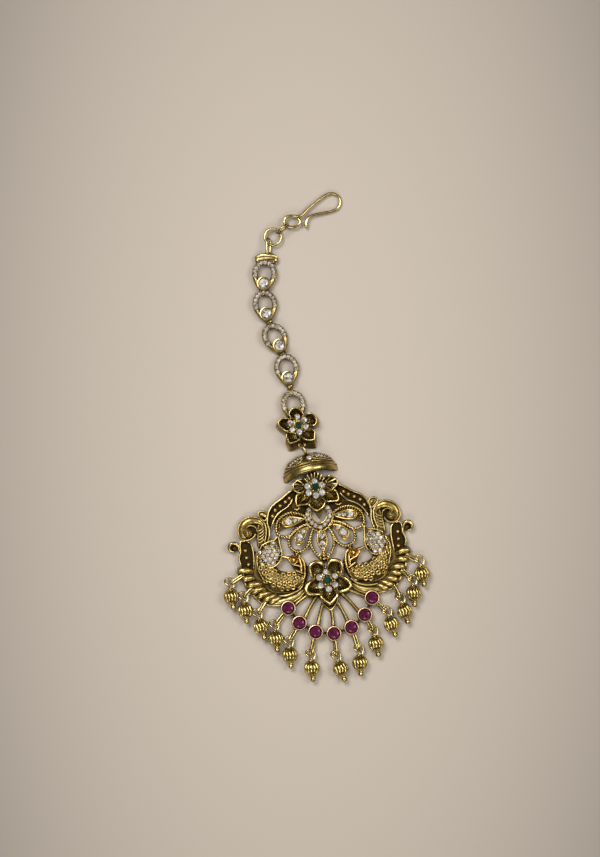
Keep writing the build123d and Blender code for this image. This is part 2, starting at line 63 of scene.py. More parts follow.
def placeAt(x, y, z=0.0, turn=0.0):
    return Matrix.Translation((x, y, z)) @ Matrix.Rotation(turn, 4, "Z")


lowStone, highStone = nodeMiddle("green_stone_bottom"), nodeMiddle("green_stone_top")
pendantTurn = atan2(lowStone.x - highStone.x, highStone.y - lowStone.y)
toMetres = Matrix.Scale(0.001, 4)
pendantPlace = placeAt(lowStone.x, lowStone.y, turn=pendantTurn) @ toMetres
originX, originY = (0.001 * c for c in layout["pendantPlace"])
chainPlace = placeAt(lowStone.x - originX, lowStone.y - originY) @ toMetres


class Wire:
    # a shader socket that takes Python's own operators
    def __init__(self, tree, socket):
        self.tree, self.socket = tree, socket

    def maths(self, operation, first, second, clamp=False):
        node = self.tree.nodes.new("ShaderNodeMath")
        node.operation, node.use_clamp = operation, clamp
        for slot, value in zip(node.inputs, (first, second)):
            if isinstance(value, Wire):
                self.tree.links.new(value.socket, slot)
            else:
                slot.default_value = value
        return Wire(self.tree, node.outputs[0])

    def __add__(self, other):
        return self.maths("ADD", self, other)

    def __sub__(self, other):
        return self.maths("SUBTRACT", self, other)

    def __rsub__(self, other):
        return self.maths("SUBTRACT", other, self)

    def __mul__(self, other):
        return self.maths("MULTIPLY", self, other)

    def __truediv__(self, other):
        return self.maths("DIVIDE", self, other)

    def __pow__(self, other):
        return self.maths("POWER", self, other)

    __radd__, __rmul__ = __add__, __mul__

    def clamped(self):
        return self.maths("ADD", self, 0.0, clamp=True)


class NodeTree:
    # the nodes of one material, or of the sky
    def __init__(self, tree):
        self.tree = tree

    # any node: its type, its settings, its sockets' values or links
    def node(self, kind, settings=(), inputs=(), output=0):
        made = self.tree.nodes.new("ShaderNode" + kind)
        for name, value in dict(settings).items():
            if name == "stops":
                self.rampStops(made.color_ramp, value)
            else:
                setattr(made, name, value)
        for name, value in dict(inputs).items():
            if isinstance(value, Wire):
                self.tree.links.new(value.socket, made.inputs[name])
            else:
                made.inputs[name].default_value = value
        return Wire(self.tree, made.outputs[output])

    def rampStops(self, ramp, stops):
        while len(ramp.elements) < len(stops):
            ramp.elements.new(1.0)
        for element, (place, colour) in zip(ramp.elements, stops):
            element.position, element.color = place, (*colour, 1.0)


class Shader(NodeTree):
    def __init__(self, name):
        self.material = bpy.data.materials.new(name)
        self.material.use_nodes = True
        super().__init__(self.material.node_tree)
        self.surface = self.tree.nodes["Principled BSDF"]

    def mix(self, factor, first, second):
        colours = {6: first, 7: second}
        inputs = {0: factor}
        inputs.update({slot: c if isinstance(c, Wire) else (*c, 1.0) for slot, c in colours.items()})
        return self.node("Mix", {"data_type": "RGBA"}, inputs, 2)

    def noise(self, scale, detail, rough=0.5):
        where = self.node("TexCoord", output="Object")
        sockets = {"Vector": where, "Scale": scale, "Detail": detail, "Roughness": rough}
        return self.node("TexNoise", {}, sockets)

    def attribute(self, name):
        return self.node("Attribute", {"attribute_name": name}, {}, "Fac")

    def set(self, **sockets):
        for name, value in sockets.items():
            socket = self.surface.inputs[name.replace("_", " ")]
            if isinstance(value, Wire):
                self.tree.links.new(value.socket, socket)
            else:
                socket.default_value = value

    def bump(self, height, strength, depth):
        normal = self.node("Bump", {}, {"Height": height, "Strength": strength, "Distance": depth})
        self.set(Normal=normal)


goldTones = dict(
    antique=dict(bright=(0.72, 0.57, 0.24), tint=(0.48, 0.31, 0.08), deep=(0.028, 0.015, 0.003), rough=0.22),
    warm=dict(bright=(0.78, 0.57, 0.20), tint=(0.62, 0.37, 0.09), deep=(0.036, 0.018, 0.005), rough=0.24),
    wire=dict(bright=(0.68, 0.55, 0.24), tint=(0.46, 0.32, 0.10), deep=(0.04, 0.026, 0.009), rough=0.20),
    bead=dict(bright=(0.72, 0.58, 0.22), tint=(0.50, 0.34, 0.08), deep=(0.028, 0.016, 0.004), rough=0.20),
    copper=dict(bright=(0.80, 0.60, 0.34), tint=(0.66, 0.44, 0.21), deep=(0.06, 0.030, 0.012), rough=0.34),
    olive=dict(bright=(0.58, 0.45, 0.18), tint=(0.37, 0.25, 0.07), deep=(0.030, 0.016, 0.004), rough=0.31),
    scale=dict(bright=(0.76, 0.56, 0.21), tint=(0.62, 0.39, 0.10), deep=(0.044, 0.022, 0.005), rough=0.36),
    wall=dict(bright=(0.54, 0.42, 0.17), tint=(0.38, 0.27, 0.09), deep=(0.030, 0.019, 0.006), rough=0.34,
              shadeAndAgeSpan=(0.42, 0.04)),
    brown=dict(bright=(0.58, 0.45, 0.18), tint=(0.36, 0.25, 0.085), deep=(0.034, 0.020, 0.007), rough=0.24),
    aged=dict(bright=(0.40, 0.30, 0.10), tint=(0.26, 0.170, 0.045), deep=(0.026, 0.014, 0.003), rough=0.28),
    patina=dict(bright=(0.100, 0.064, 0.018), tint=(0.21, 0.135, 0.036), deep=(0.026, 0.014, 0.003),
                rough=0.40),
)
goldFinish = dict(
    shadeAndAgeSpan=(0.74, 0.30),           # shares of open sky where a place starts to darken and is darkest
    blotchScale=900.0, blotchAges=0.9, tintFrom=0.38, tintContrast=2.6,
    grainScale=5200.0, grainAges=0.3, grainDepth=0.00003, grainBump=0.35,
    grooveFrom=0.2, grooveShadeAndAge=1.3,
    darkest=0.93, agedRough=0.20, grainRough=0.10, agedDull=0.12,
)


def goldMaterial(name):
    tone, finish = goldTones[name], goldFinish
    shader = Shader(name + "Gold")
    openSky = shader.attribute("openSky")
    blotch = shader.noise(finish["blotchScale"], 3.0)
    grain = shader.noise(finish["grainScale"], 3.0, 0.6)
    shadeAndAgeFrom, shadeAndAgeTo = tone.get("shadeAndAgeSpan", finish["shadeAndAgeSpan"])
    # painted shade and patina: places that see little open sky are painted darker, both for the shade that
    # falls in hollows and for the patina kept there
    tarnishAndShade = (shadeAndAgeFrom - openSky) / (shadeAndAgeFrom - shadeAndAgeTo)
    tarnishAndShade = tarnishAndShade + (blotch - 0.5) * finish["blotchAges"] + (grain - 0.5) * finish["grainAges"]
    # the bead's grooves are painted darker as well: painted shade and patina in the grooves
    if name == "bead":
        tarnishAndShade = tarnishAndShade + (shader.attribute("groove") - finish["grooveFrom"]) * finish["grooveShadeAndAge"]
    tarnishAndShade = tarnishAndShade.clamped()
    tinting = ((blotch - finish["tintFrom"]) * finish["tintContrast"]).clamped()
    tinted = shader.mix(tinting, tone["bright"], tone["tint"])
    shader.set(Base_Color=shader.mix(tarnishAndShade * finish["darkest"], tinted, tone["deep"]))
    rough = tone["rough"] + tarnishAndShade * finish["agedRough"] + (grain - 0.5) * finish["grainRough"]
    shader.set(Roughness=rough, Metallic=1.0 - tarnishAndShade * finish["agedDull"])
    shader.bump(grain * 0.6 + blotch * 0.4, finish["grainBump"], finish["grainDepth"])
    return shader.material


stoneTones = dict(
    ruby=dict(light=(0.165, 0.008, 0.068), dark=(0.045, 0.002, 0.020), rough=0.09, metallic=0.1, coat=0.4,
              glass=1.35),
    emerald=dict(light=(0.008, 0.13, 0.075), dark=(0.002, 0.035, 0.022), rough=0.07, metallic=0.2, coat=0.4,
                 glass=1.35),
    clear=dict(light=(1.0, 0.965, 0.96), dark=(0.10, 0.07, 0.05), rough=0.05, metallic=0.15, coat=0.6,
               glass=1.7),
)


stoneFinish = dict(cloudScale=1500.0, cloudShade=0.3, cloudRough=0.05, contrast=1.5, darkest=0.24,
                   coatRough=0.02)


def stoneMaterial(name):
    tone, finish = stoneTones[name], stoneFinish
    shader = Shader(name + "Stone")
    # painted reflections: the facet shades and a cloud of noise paint each stone lighter and darker, as the
    # light thrown back inside a cut stone does
    cloud = shader.noise(finish["cloudScale"], 2.0)
    shade = shader.attribute("facet") * finish["contrast"] - finish["darkest"]
    shade = (shade + (cloud - 0.5) * finish["cloudShade"]).clamped()
    shader.set(Base_Color=shader.mix(shade, tone["dark"], tone["light"]), Metallic=tone["metallic"],
               Roughness=tone["rough"] + cloud * finish["cloudRough"], IOR=tone["glass"],
               Coat_Weight=tone["coat"], Coat_Roughness=finish["coatRough"])
    return shader.material


materials = {name: goldMaterial(name) for name in goldTones}
materials.update({name: stoneMaterial(name) for name in stoneTones})
slots = {name: "antique_gold" for name in goldTones}
slots.update(brown="wire_gold", wire="wire_gold", bead="bead_gold", ruby="red_stone", emerald="green_stone",
             clear="clear_stone")
print("materials ready:", len(materials))


def smoothLine(points, z=0.0, closed=False, steps=5):
    # points on a line that bends evenly through the given ones; a third number lifts a point
    given = [Vector((p[0], p[1], z + (p[2] if len(p) > 2 else 0.0))) for p in points]
    count = len(given)
    line = []
    for i in range(count if closed else count - 1):
        if closed:
            a, b, c, d = (given[(i + k) % count] for k in (-1, 0, 1, 2))
        else:
            b, c = given[i], given[i + 1]
            a = given[i - 1] if i else b
            d = given[i + 2] if i + 2 < count else c
        for step in range(steps):
            t = step / steps
            line.append((b * 2 + (c - a) * t + (a * 2 - b * 5 + c * 4 - d) * t * t
                         + (b * 3 - a - c * 3 + d) * t ** 3) / 2)
    return line if closed else line + [given[-1]]


def toSide(points, side):
    # the same table on the right (1) or mirrored on the left (-1), where it spreads a little
    moved = []
    for u, v, *rest in points:
        wide = layout["leftSpread"] * max(0.0, u - layout["leftFrom"]) if side < 0 else 0.0
        moved.append((side * (u + wide), v, *rest))
    return moved


def sideLine(points, side, z=0.0, closed=False, steps=5):
    return smoothLine(toSide(points, side), z, closed, steps)


def join(bm, part):
    mesh = bpy.data.meshes.new("part")
    bmesh.ops.recalc_face_normals(part, faces=part.faces)
    part.to_mesh(mesh)
    part.free()
    bm.from_mesh(mesh)
    bpy.data.meshes.remove(mesh)


def sweep(bm, line, width, height=None, closed=False, sides=10, taper=None):
    # a rounded bar along a line; taper gives its size from start (0) to end (1)
    height = height or width
    part = bmesh.new()
    ring = bmesh.ops.create_circle(part, cap_ends=False, segments=sides, radius=width / 2)["verts"]
    for vert in ring:
        if height < width:
            vert.co.y *= height / width
        elif abs(vert.co.y) > width * 0.01:
            vert.co.y += (height - width) / 2 * (1 if vert.co.y > 0 else -1)
    count = len(line)
    edges = list(part.edges)
    frames = []
    for i in range(count + 1 if closed else count):
        back = line[(i - 1) % count] if closed or i else line[0]
        ahead = line[(i + 1) % count] if closed or i + 1 < count else line[-1]
        run = (ahead - back).normalized()
        side = run.cross(up).normalized()
        turn = Matrix((side, side.cross(run), run)).transposed().to_4x4()
        size = taper(i / (count - 1)) if taper else 1.0
        frames.append(Matrix.Translation(line[i % count]) @ turn @ Matrix.Diagonal((size, size, 1, 1)))
    bmesh.ops.transform(part, matrix=frames[0], verts=ring)
    for before, after in zip(frames, frames[1:]):
        made = bmesh.ops.extrude_edge_only(part, edges=edges)["geom"]
        edges = [g for g in made if isinstance(g, bmesh.types.BMEdge)]
        verts = [g for g in made if isinstance(g, bmesh.types.BMVert)]
        bmesh.ops.transform(part, matrix=after @ before.inverted(), verts=verts)
    if closed:
        bmesh.ops.remove_doubles(part, verts=part.verts, dist=width / 500)
    else:
        bmesh.ops.holes_fill(part, edges=part.edges, sides=0)
    join(bm, part)


def pad(bm, outline, low, high, rounds=((0.07, 0.06), (0.12, 0.04))):
    # a flat piece with a rounded top: each round is an inset and a rise
    part = bmesh.new()
    base = part.faces.new([part.verts.new((p.x, p.y, low)) for p in outline])
    base.normal_update()
    if base.normal.z < 0:
        base.normal_flip()
    made = bmesh.ops.extrude_face_region(part, geom=[base])["geom"]
    top = [g for g in made if isinstance(g, bmesh.types.BMFace)]
    rise = high - low - sum(depth for _, depth in rounds)
    bmesh.ops.translate(part, vec=(0, 0, rise), verts=top[0].verts)
    for thickness, depth in rounds:
        bmesh.ops.inset_region(part, faces=top, thickness=thickness, depth=depth, use_even_offset=False)
    join(bm, part)


def crown(reach, rise, steps=4):
    # rounds that follow a quarter of an ellipse
    angles = [pi / 2 * k / steps for k in range(steps + 1)]
    return tuple((reach * (cos(a) - cos(b)), rise * (sin(b) - sin(a))) for a, b in zip(angles, angles[1:]))


def lathe(profile, steps):
    # a turned shape about Z from (radius, height) pairs
    part = bmesh.new()
    verts = [part.verts.new((r, 0, z)) for r, z in profile]
    edges = [part.edges.new(pair) for pair in zip(verts, verts[1:])]
    bmesh.ops.spin(part, geom=verts + edges, axis=up, cent=(0, 0, 0), angle=2 * pi, steps=steps,
                   use_merge=True)
    bmesh.ops.remove_doubles(part, verts=part.verts, dist=0.0005)
    bmesh.ops.recalc_face_normals(part, faces=part.faces)
    return part


def template(part):
    mesh = bpy.data.meshes.new("template")
    bmesh.ops.recalc_face_normals(part, faces=part.faces)
    part.to_mesh(mesh)
    part.free()
    return mesh


def stamp(bm, mesh, place):
    mesh.transform(place)
    bm.from_mesh(mesh)
    mesh.transform(place.inverted())


def stand(point, normal=up, turn=0.0, size=1.0):
    # a place on a surface; the size is one number, or one for each axis
    lean = Vector(normal).to_track_quat("Z", "Y").to_matrix().to_4x4()
    sizes = size if isinstance(size, tuple) else (size,) * 3
    return Matrix.Translation(point) @ lean @ Matrix.Rotation(turn, 4, "Z") @ Matrix.Diagonal((*sizes, 1))


def ballPart(rings, segments):
    part = bmesh.new()
    bmesh.ops.create_uvsphere(part, u_segments=segments, v_segments=rings, radius=1)
    return part


def ringPart(radius, wire, steps, sides):
    part = bmesh.new()
    made = bmesh.ops.create_circle(part, cap_ends=False, segments=sides, radius=wire)["verts"]
    upright = Matrix.Translation((radius, 0, 0)) @ Matrix.Rotation(pi / 2, 4, "X")
    bmesh.ops.transform(part, matrix=upright, verts=made)
    bmesh.ops.spin(part, geom=list(part.verts) + list(part.edges), axis=up, cent=(0, 0, 0), angle=2 * pi,
                   steps=steps, use_merge=True)
    return part


def cushionPart():
    # a square stone with cut corners and a sloping crown
    part = bmesh.new()
    bmesh.ops.create_cube(part, size=1.7)
    bmesh.ops.scale(part, vec=(1, 1, 0.5), verts=part.verts)
    upright = [e for e in part.edges if abs(e.verts[0].co.z - e.verts[1].co.z) > 0.1]
    bmesh.ops.bevel(part, geom=upright, offset=0.35, affect="EDGES", segments=1, profile=0.5, material=-1)
    top = [f for f in part.faces if f.normal.z > 0.9]
    bmesh.ops.inset_region(part, faces=top, thickness=0.26, depth=0.22, use_even_offset=True)
    return part


shapes = dict(
    ball=template(ballPart(9, 14)),
    grain=template(ballPart(6, 8)),
    scaleRing=template(ringPart(0.62, 0.30, 12, 7)),
    cupRing=template(ringPart(1.0, 0.16, 16, 6)),
    cutStone=template(lathe([(0, 0.46), (0.55, 0.46), (0.86, 0.24), (1.0, 0.0), (0.8, -0.2), (0, -0.3)], 8)),
    bigStone=template(lathe([(0, 0.40), (0.50, 0.40), (0.74, 0.31), (0.93, 0.12), (1.0, 0.0), (0.9, -0.2),
                             (0, -0.3)], 12)),
    cushion=template(cushionPart()),
)


def dots(bm, places, height, size, kind="grain"):
    for u, v in places:
        stamp(bm, shapes[kind], stand((u, v, height), size=size))


def setStone(metal, stones, point, radius, normal=up, grains=0, turn=0.0, kind="cutStone"):
    # one stone in its little cup, with grains pressed over its edge
    point = Vector(point)
    stamp(stones, shapes[kind], stand(point, normal, turn, radius))
    stamp(metal, shapes["cupRing"], stand(point - Vector(normal) * radius * 0.1, normal, 0, radius))
    for k in range(grains):
        out = stand(point, normal, turn + 2 * pi * k / grains) @ Vector((radius * 1.02, 0, radius * 0.12))
        stamp(metal, shapes["grain"], stand(out, normal, 0, radius * 0.26))


def softEnds(t):
    return min(1.0, 0.3 + 9 * min(t, 1 - t))


def swell(ends):
    # full size in the middle, less at both ends
    return lambda t: ends + (1 - ends) * sin(pi * t)


def steady(sizes):
    # sizes at even places along a line, blended between them
    def at(t):
        place = min(t, 0.9999) * (len(sizes) - 1)
        k = int(place)
        ease = (1 - cos(pi * (place - k))) / 2
        return sizes[k] * (1 - ease) + sizes[k + 1] * ease
    return at


def surfaceOf(bm):
    tree = BVHTree.FromBMesh(bm)

    def drop(u, v):
        hit, normal, _, _ = tree.ray_cast(Vector((u, v, 50)), Vector((0, 0, -1)))
        return (hit, normal if normal.z > 0 else -normal) if hit else None
    return drop


def rowAlong(line, gap):
    # evenly spaced points and directions along a line
    spaced, carried = [], 0.0
    for a, b in zip(line, line[1:]):
        length = (b - a).length
        while carried <= length:
            spaced.append((a.lerp(b, carried / length), (b - a).normalized()))
            carried += gap
        carried -= length
    return spaced


def inside(u, v, outline):
    odd = False
    for a, b in zip(outline, outline[1:] + outline[:1]):
        if (a.y > v) != (b.y > v) and u < (b.x - a.x) * (v - a.y) / (b.y - a.y) + a.x:
            odd = not odd
    return odd


def edgeGap(u, v, outline):
    return min((Vector((u, v, p.z)) - p).length for p in outline)


pieces = []


def placedPart(part, place):
    bmesh.ops.transform(part, matrix=place, verts=part.verts)
    return part


def finishPiece(name, bm, place, material, replaces=(), angle=40, facets=False):
    bm.transform(place)
    mesh = bpy.data.meshes.new(name)
    bm.to_mesh(mesh)
    bm.free()
    mesh.polygons.foreach_set("use_smooth", [not facets] * len(mesh.polygons))
    if not facets:
        mesh.set_sharp_from_angle(angle=radians(angle))
    piece = bpy.data.objects.new(name, mesh)
    bpy.context.scene.collection.objects.link(piece)
    mesh.materials.append(materials[material])
    if facets:
        facetShades(mesh)
    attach(piece, "root")
    if replaces:
        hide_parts(*replaces)
    pieces.append((piece, material))


facetLook = dict(scatter=0.62, cellShare=0.19, cellScale=1300)


def facetShades(mesh):
    # each facet gets its own shade, as light inside a cut stone gives it
    shades = []
    for face in mesh.polygons:
        cell = 1 + noise.cell(face.center * facetLook["cellScale"])
        shades.append(random.random() * facetLook["scatter"] + facetLook["cellShare"] * cell)
    mesh.attributes.new("facet", "FLOAT", "FACE").data.foreach_set("value", shades)


# Pendant: pierced plate. The left half mirrors the right half's outlines.
plate = dict(low=0.0, high=1.0, step=0.012, leaves=(
    [(4.9, 23.4), (6.6, 22.9), (9.0, 21.3), (11.6, 19.9), (12.7, 18.2), (12.9, 16.0), (12.75, 14.3),
     (12.2, 14.8), (11.2, 16.6), (9.7, 18.1), (7.2, 19.5), (5.6, 20.9)],
    [(12.6, 10.6), (13.5, 11.6), (12.8, 13.4), (12.6, 15.2), (13.2, 16.8), (15.0, 17.8), (17.2, 17.7),
     (19.0, 16.5), (19.8, 14.6), (19.4, 12.7), (18.0, 12.1), (16.6, 12.7), (15.9, 12.2), (16.0, 10.6),
     (15.2, 9.6)],
    [(17.3, 11.2), (17.7, 12.0), (20.0, 12.1), (20.1, 9.9), (20.7, 7.9), (20.3, 5.6), (18.6, 4.6),
     (16.6, 4.4), (15.9, 6.4), (16.1, 8.8), (16.9, 9.6)],
    [(5.9, 6.6), (7.2, 7.2), (8.6, 6.7), (8.9, 5.7), (8.2, 4.4), (7.9, 3.2), (9.6, 3.2), (11.4, 3.9),
     (12.6, 5.6), (15.8, 6.9), (16.6, 4.6), (15.6, 1.4), (13.6, -0.6), (10.7, -1.5), (7.4, -1.5), (5.6, 0.2),
     (4.6, 2.2), (4.5, 4.4)],
    [(20.9, 5.9), (21.4, 4.9), (20.4, 2.6), (19.7, 0.1), (18.0, -2.0), (16.4, -3.6), (12.9, -4.3),
     (9.3, -4.1), (7.0, -2.5), (5.3, -0.2), (6.6, -1.0), (10.7, -1.9), (13.9, -1.3), (16.2, 1.2), (17.5, 4.2),
     (18.6, 5.4)],
    [(17.4, 12.3), (18.2, 13.1), (19.4, 12.6), (18.8, 11.8)],
    [(3.4, 15.6), (4.2, 16.8), (6.2, 17.5), (8.6, 17.1), (10.0, 16.2), (10.6, 14.6), (10.5, 13.7),
     (8.9, 13.9), (7.0, 14.2), (5.0, 14.4), (3.5, 14.9)],
    [(2.6, 17.9), (4.6, 19.6), (7.6, 19.3), (9.6, 18.0), (11.0, 16.4), (10.9, 15.8), (7.2, 16.9),
     (4.4, 16.9)],
    [(5.9, 8.4), (7.4, 8.2), (7.0, 6.7), (5.9, 6.6)],
    [(4.6, 21.4), (6.4, 21.2), (6.3, 18.6), (4.6, 18.8)],
    [(3.6, 0.6), (4.5, 0.4), (6.3, -0.8), (6.2, -2.6), (5.2, -3.2), (3.6, -2.2)],
    [(0, -3.6), (3.4, -2.6), (5.8, -3.1), (4.2, -4.1), (2.4, -4.4), (1.6, -6.4), (0, -7.5)],
    [(0.3, 5.2), (1.0, 4.9), (2.2, 4.4), (1.8, 3.2), (0.8, 3.2), (0.6, 4.2)],
    [(15.7, 8.8), (16.6, 8.8), (17.6, 5.4), (17.6, 3.0), (16.4, 0.4), (14.0, -1.9), (10.8, -2.5), (7.2, -2.4),
     (6.8, -1.2), (10.7, -1.6), (13.6, -0.8), (15.2, 1.2), (15.8, 4.4)],
))


def pendantPlate():
    bm = bmesh.new()
    for side in (1, -1):
        for number, outline in enumerate(plate["leaves"]):
            # steps of a hair, so that no two tops lie in one plane
            high = plate["high"] + plate["step"] * (2 * number + (side > 0))
            pad(bm, sideLine(outline, side, closed=True, steps=4), plate["low"], high)
        dots(bm, toSide([knob["back"]], side), 0.7, knob["backSize"], "ball")
    pad(bm, smoothLine(lotus["tongue"], closed=True), 0.5, 1.4)
    finishPiece("pendant_plate", bm, pendantPlace, "patina", ["pendant_frame"])


# Raised strips: width, underside, top and line
rims = (
    (0.55, 0.6, 2.1, [(5.2, 23.4), (6.6, 22.9), (8.9, 21.35), (11.2, 20.0), (12.45, 18.2), (12.95, 16.1),
                      (12.75, 14.2), (12.95, 12.4), (13.6, 11.2)]),
    (0.45, 0.6, 1.95, [(5.7, 21.6), (7.1, 19.55), (9.7, 18.1), (11.2, 16.5), (12.35, 14.3)]),
    (0.45, 0.5, 1.95, [(18.3, 12.0), (17.5, 11.3), (17.15, 9.8), (17.2, 7.4), (17.5, 4.9)]),
    (0.5, 0.5, 2.0, [(18.3, 12.0), (19.6, 12.2), (20.05, 11.2), (20.1, 9.5), (20.65, 7.8), (20.2, 5.9)]),
    (0.5, 0.5, 2.05, [(14.3, 10.9), (13.8, 12.4), (13.45, 14.2), (13.7, 16.0), (14.7, 17.3)]),
    (0.5, 0.4, 1.6, [(7.0, 6.7), (6.7, 7.3), (6.4, 7.9)]),
    (0.36, 0.4, 1.9, [(15.9, 8.6), (16.45, 7.2), (16.5, 5.4), (16.1, 3.6), (15.3, 1.6)]),
)
channelBeads = dict(
    places=[(6.8, 21.4), (7.9, 20.6), (9.3, 19.8), (10.65, 18.9), (11.5, 17.5), (18.9, 9.8), (18.85, 8.0),
            (18.6, 6.3)],
    radius=0.52, height=1.42,
)
knob = dict(
    line=[(20.3, 9.6), (20.4, 10.9), (21.0, 11.8), (22.0, 11.9), (22.6, 11.1), (22.4, 10.1), (21.5, 9.8)],
    width=0.85, high=1.9, sizes=(0.45, 0.85, 1.1, 1.15, 1.0, 0.75, 0.5), back=(21.3, 10.8),
    backSize=(0.95, 0.95, 0.4), height=1.35,
)


def pendantRims():
    bm, granules = bmesh.new(), bmesh.new()
    for side in (1, -1):
        for width, low, high, points in rims:
            sweep(bm, sideLine(points, side, (low + high) / 2), width, high - low, taper=softEnds)
        dots(granules, toSide(channelBeads["places"], side), channelBeads["height"], channelBeads["radius"],
             "ball")
        sweep(bm, sideLine(knob["line"], side, knob["height"]), knob["width"], knob["high"], sides=12,
              taper=steady(knob["sizes"]))
    finishPiece("pendant_rims", bm, pendantPlace, "antique")
    finishPiece("pendant_granules", granules, pendantPlace, "scale")


# The two birds
bird = dict(
    body=[(5.5, 2.3), (5.8, 0.9), (7.1, -0.5), (9.2, -1.2), (12.0, -1.1), (14.2, 0.0), (15.8, 2.5),
          (16.4, 5.4), (16.2, 8.0), (15.2, 6.4), (14.4, 5.5), (12.3, 5.0), (11.3, 3.9), (9.7, 3.3),
          (8.0, 3.3), (6.6, 3.2)],
    bodyLine=[(5.5, 1.9), (6.1, 1.4), (7.4, 1.05), (9.3, 0.95), (11.6, 1.5), (13.5, 2.9), (14.7, 4.8),
              (15.4, 7.2), (15.7, 8.6)],
    bodyWidth=4.7, bodyHeight=2.9, bodyMiddle=1.25,
    bodySizes=(0.12, 0.6, 0.9, 1.0, 1.0, 0.95, 0.8, 0.5, 0.25),
    scaleGap=1.34, scaleSize=0.74, scaleRows=7, scaleFrom=-0.85, scaleJitter=0.12, scaleMargin=0.3,
    scaleUpright=0.7,
    neck=[(6.6, 7.3), (5.6, 6.3), (5.15, 4.7), (5.2, 2.9), (5.6, 1.3), (6.4, -0.2), (7.8, -1.3)],
    neckWidth=0.5, neckTop=2.0,
    throat=[(6.7, 6.9), (6.2, 5.8), (6.0, 4.4), (6.1, 3.2), (6.3, 2.4)], throatWidth=0.8, throatTop=2.2,
    heads={1: (7.35, 6.0), -1: (7.62, 6.0)}, headRadius=1.28, headHigh=2.3, headBall=0.7, browRadius=1.04,
    browWire=0.21, lineLow=0.6, featureHeight=1.75,
    beak=[(8.3, 6.5), (9.1, 6.75), (9.9, 7.05), (10.7, 7.35)], beakWidth=1.15,
    cheek=[(6.1, 3.4), (6.3, 4.2), (7.0, 4.6), (8.0, 5.0), (8.7, 5.8), (8.75, 6.5)],
    collar=[(5.6, 2.3), (6.5, 2.9), (7.6, 3.5)], collarRow=[(6.0, 1.8), (6.9, 2.4), (8.0, 2.9)],
)


rowPitch = 0.87  # rows lie closer than the gap along a row, as each is shifted by half a gap


def birdBody(side, name):
    bm, skin, scales = bmesh.new(), bmesh.new(), bmesh.new()
    outline = sideLine(bird["body"], side, closed=True, steps=4)
    sweep(skin, sideLine(bird["bodyLine"], side, bird["bodyMiddle"], steps=7), bird["bodyWidth"],
          bird["bodyHeight"], sides=22, taper=steady(bird["bodySizes"]))
    drop = surfaceOf(skin)
    finishPiece(name + "_skin", skin, pendantPlace, "aged")
    gap, jitter = bird["scaleGap"], bird["scaleJitter"]
    left, right = min(p.x for p in outline), max(p.x for p in outline)
    for row in range(bird["scaleRows"]):
        for k in range(int((right - left) / gap) + 2):
            u = left + gap * (k + 0.5 * (row % 2)) + random.uniform(-jitter, jitter)
            v = bird["scaleFrom"] + row * gap * rowPitch + random.uniform(-jitter, jitter)
            if inside(u, v, outline) and edgeGap(u, v, outline) > bird["scaleMargin"] and drop(u, v):
                hit, normal = drop(u, v)
                facing = (normal + up * bird["scaleUpright"]).normalized()
                stamp(scales, shapes["scaleRing"], stand(hit, facing, 0, bird["scaleSize"]))
    finishPiece(name + "_scales", scales, pendantPlace, "scale")
    low, middle = bird["lineLow"], bird["featureHeight"]
    for key in ("neck", "throat"):
        top = bird[key + "Top"]
        sweep(bm, sideLine(bird[key], side, (top + low) / 2), bird[key + "Width"], top - low, sides=12,
              taper=softEnds)
    [(u, v)] = toSide([bird["heads"][side]], side)
    radius, high, brow, wire = (bird[key] for key in ("headRadius", "headHigh", "browRadius", "browWire"))
    floor = high - 0.45
    head = lathe([(0, 0.7), (radius, 0.7), (radius, high - 0.4), (brow + wire, high),
                  (brow, high + wire * 0.7), (brow - wire, high), (brow - wire * 1.3, floor), (0, floor)], 28)
    join(bm, placedPart(head, placeAt(u, v)))
    dots(bm, [(u, v)], high - 0.3, bird["headBall"], "ball")
    sweep(bm, sideLine(bird["beak"], side, middle), bird["beakWidth"], 1.1, taper=lambda t: 1.0 - 0.45 * t)
    sweep(bm, sideLine(bird["cheek"], side, middle), 0.5, 1.5, taper=softEnds)
    sweep(bm, sideLine(bird["collar"], side, 2.0), 0.5, 1.5, taper=softEnds)
    dots(bm, [p[:2] for p, _ in rowAlong(sideLine(bird["collarRow"], side), 0.46)], 2.45, 0.2)
    finishPiece(name, bm, pendantPlace, "warm")


wing = dict(
    outline=[(10.35, 8.4), (10.6, 10.2), (10.8, 12.2), (11.7, 11.5), (13.2, 11.2), (14.8, 10.5), (15.9, 9.1),
             (16.2, 7.5), (15.8, 6.1), (14.7, 5.1), (13.1, 4.85), (11.5, 5.6), (10.6, 6.9)],
    rim=[(14.9, 5.3), (13.1, 4.85), (11.5, 5.6), (10.6, 6.9), (10.35, 8.4), (10.6, 10.2), (10.8, 12.2),
         (11.7, 11.5), (13.2, 11.2), (14.8, 10.5), (15.8, 9.2)],
    low=0.7, high=1.75, dome=(13.3, 8.0), domeSize=(2.6, 2.85, 1.1), rimWidth=0.45, rimTop=2.45,
    stoneGap=1.17, stoneRadius=0.54, stoneMargin=0.5, grainRadius=0.22, grainMargin=0.4,
    rows=8, perRow=7, corner=(10.4, 5.75),
)


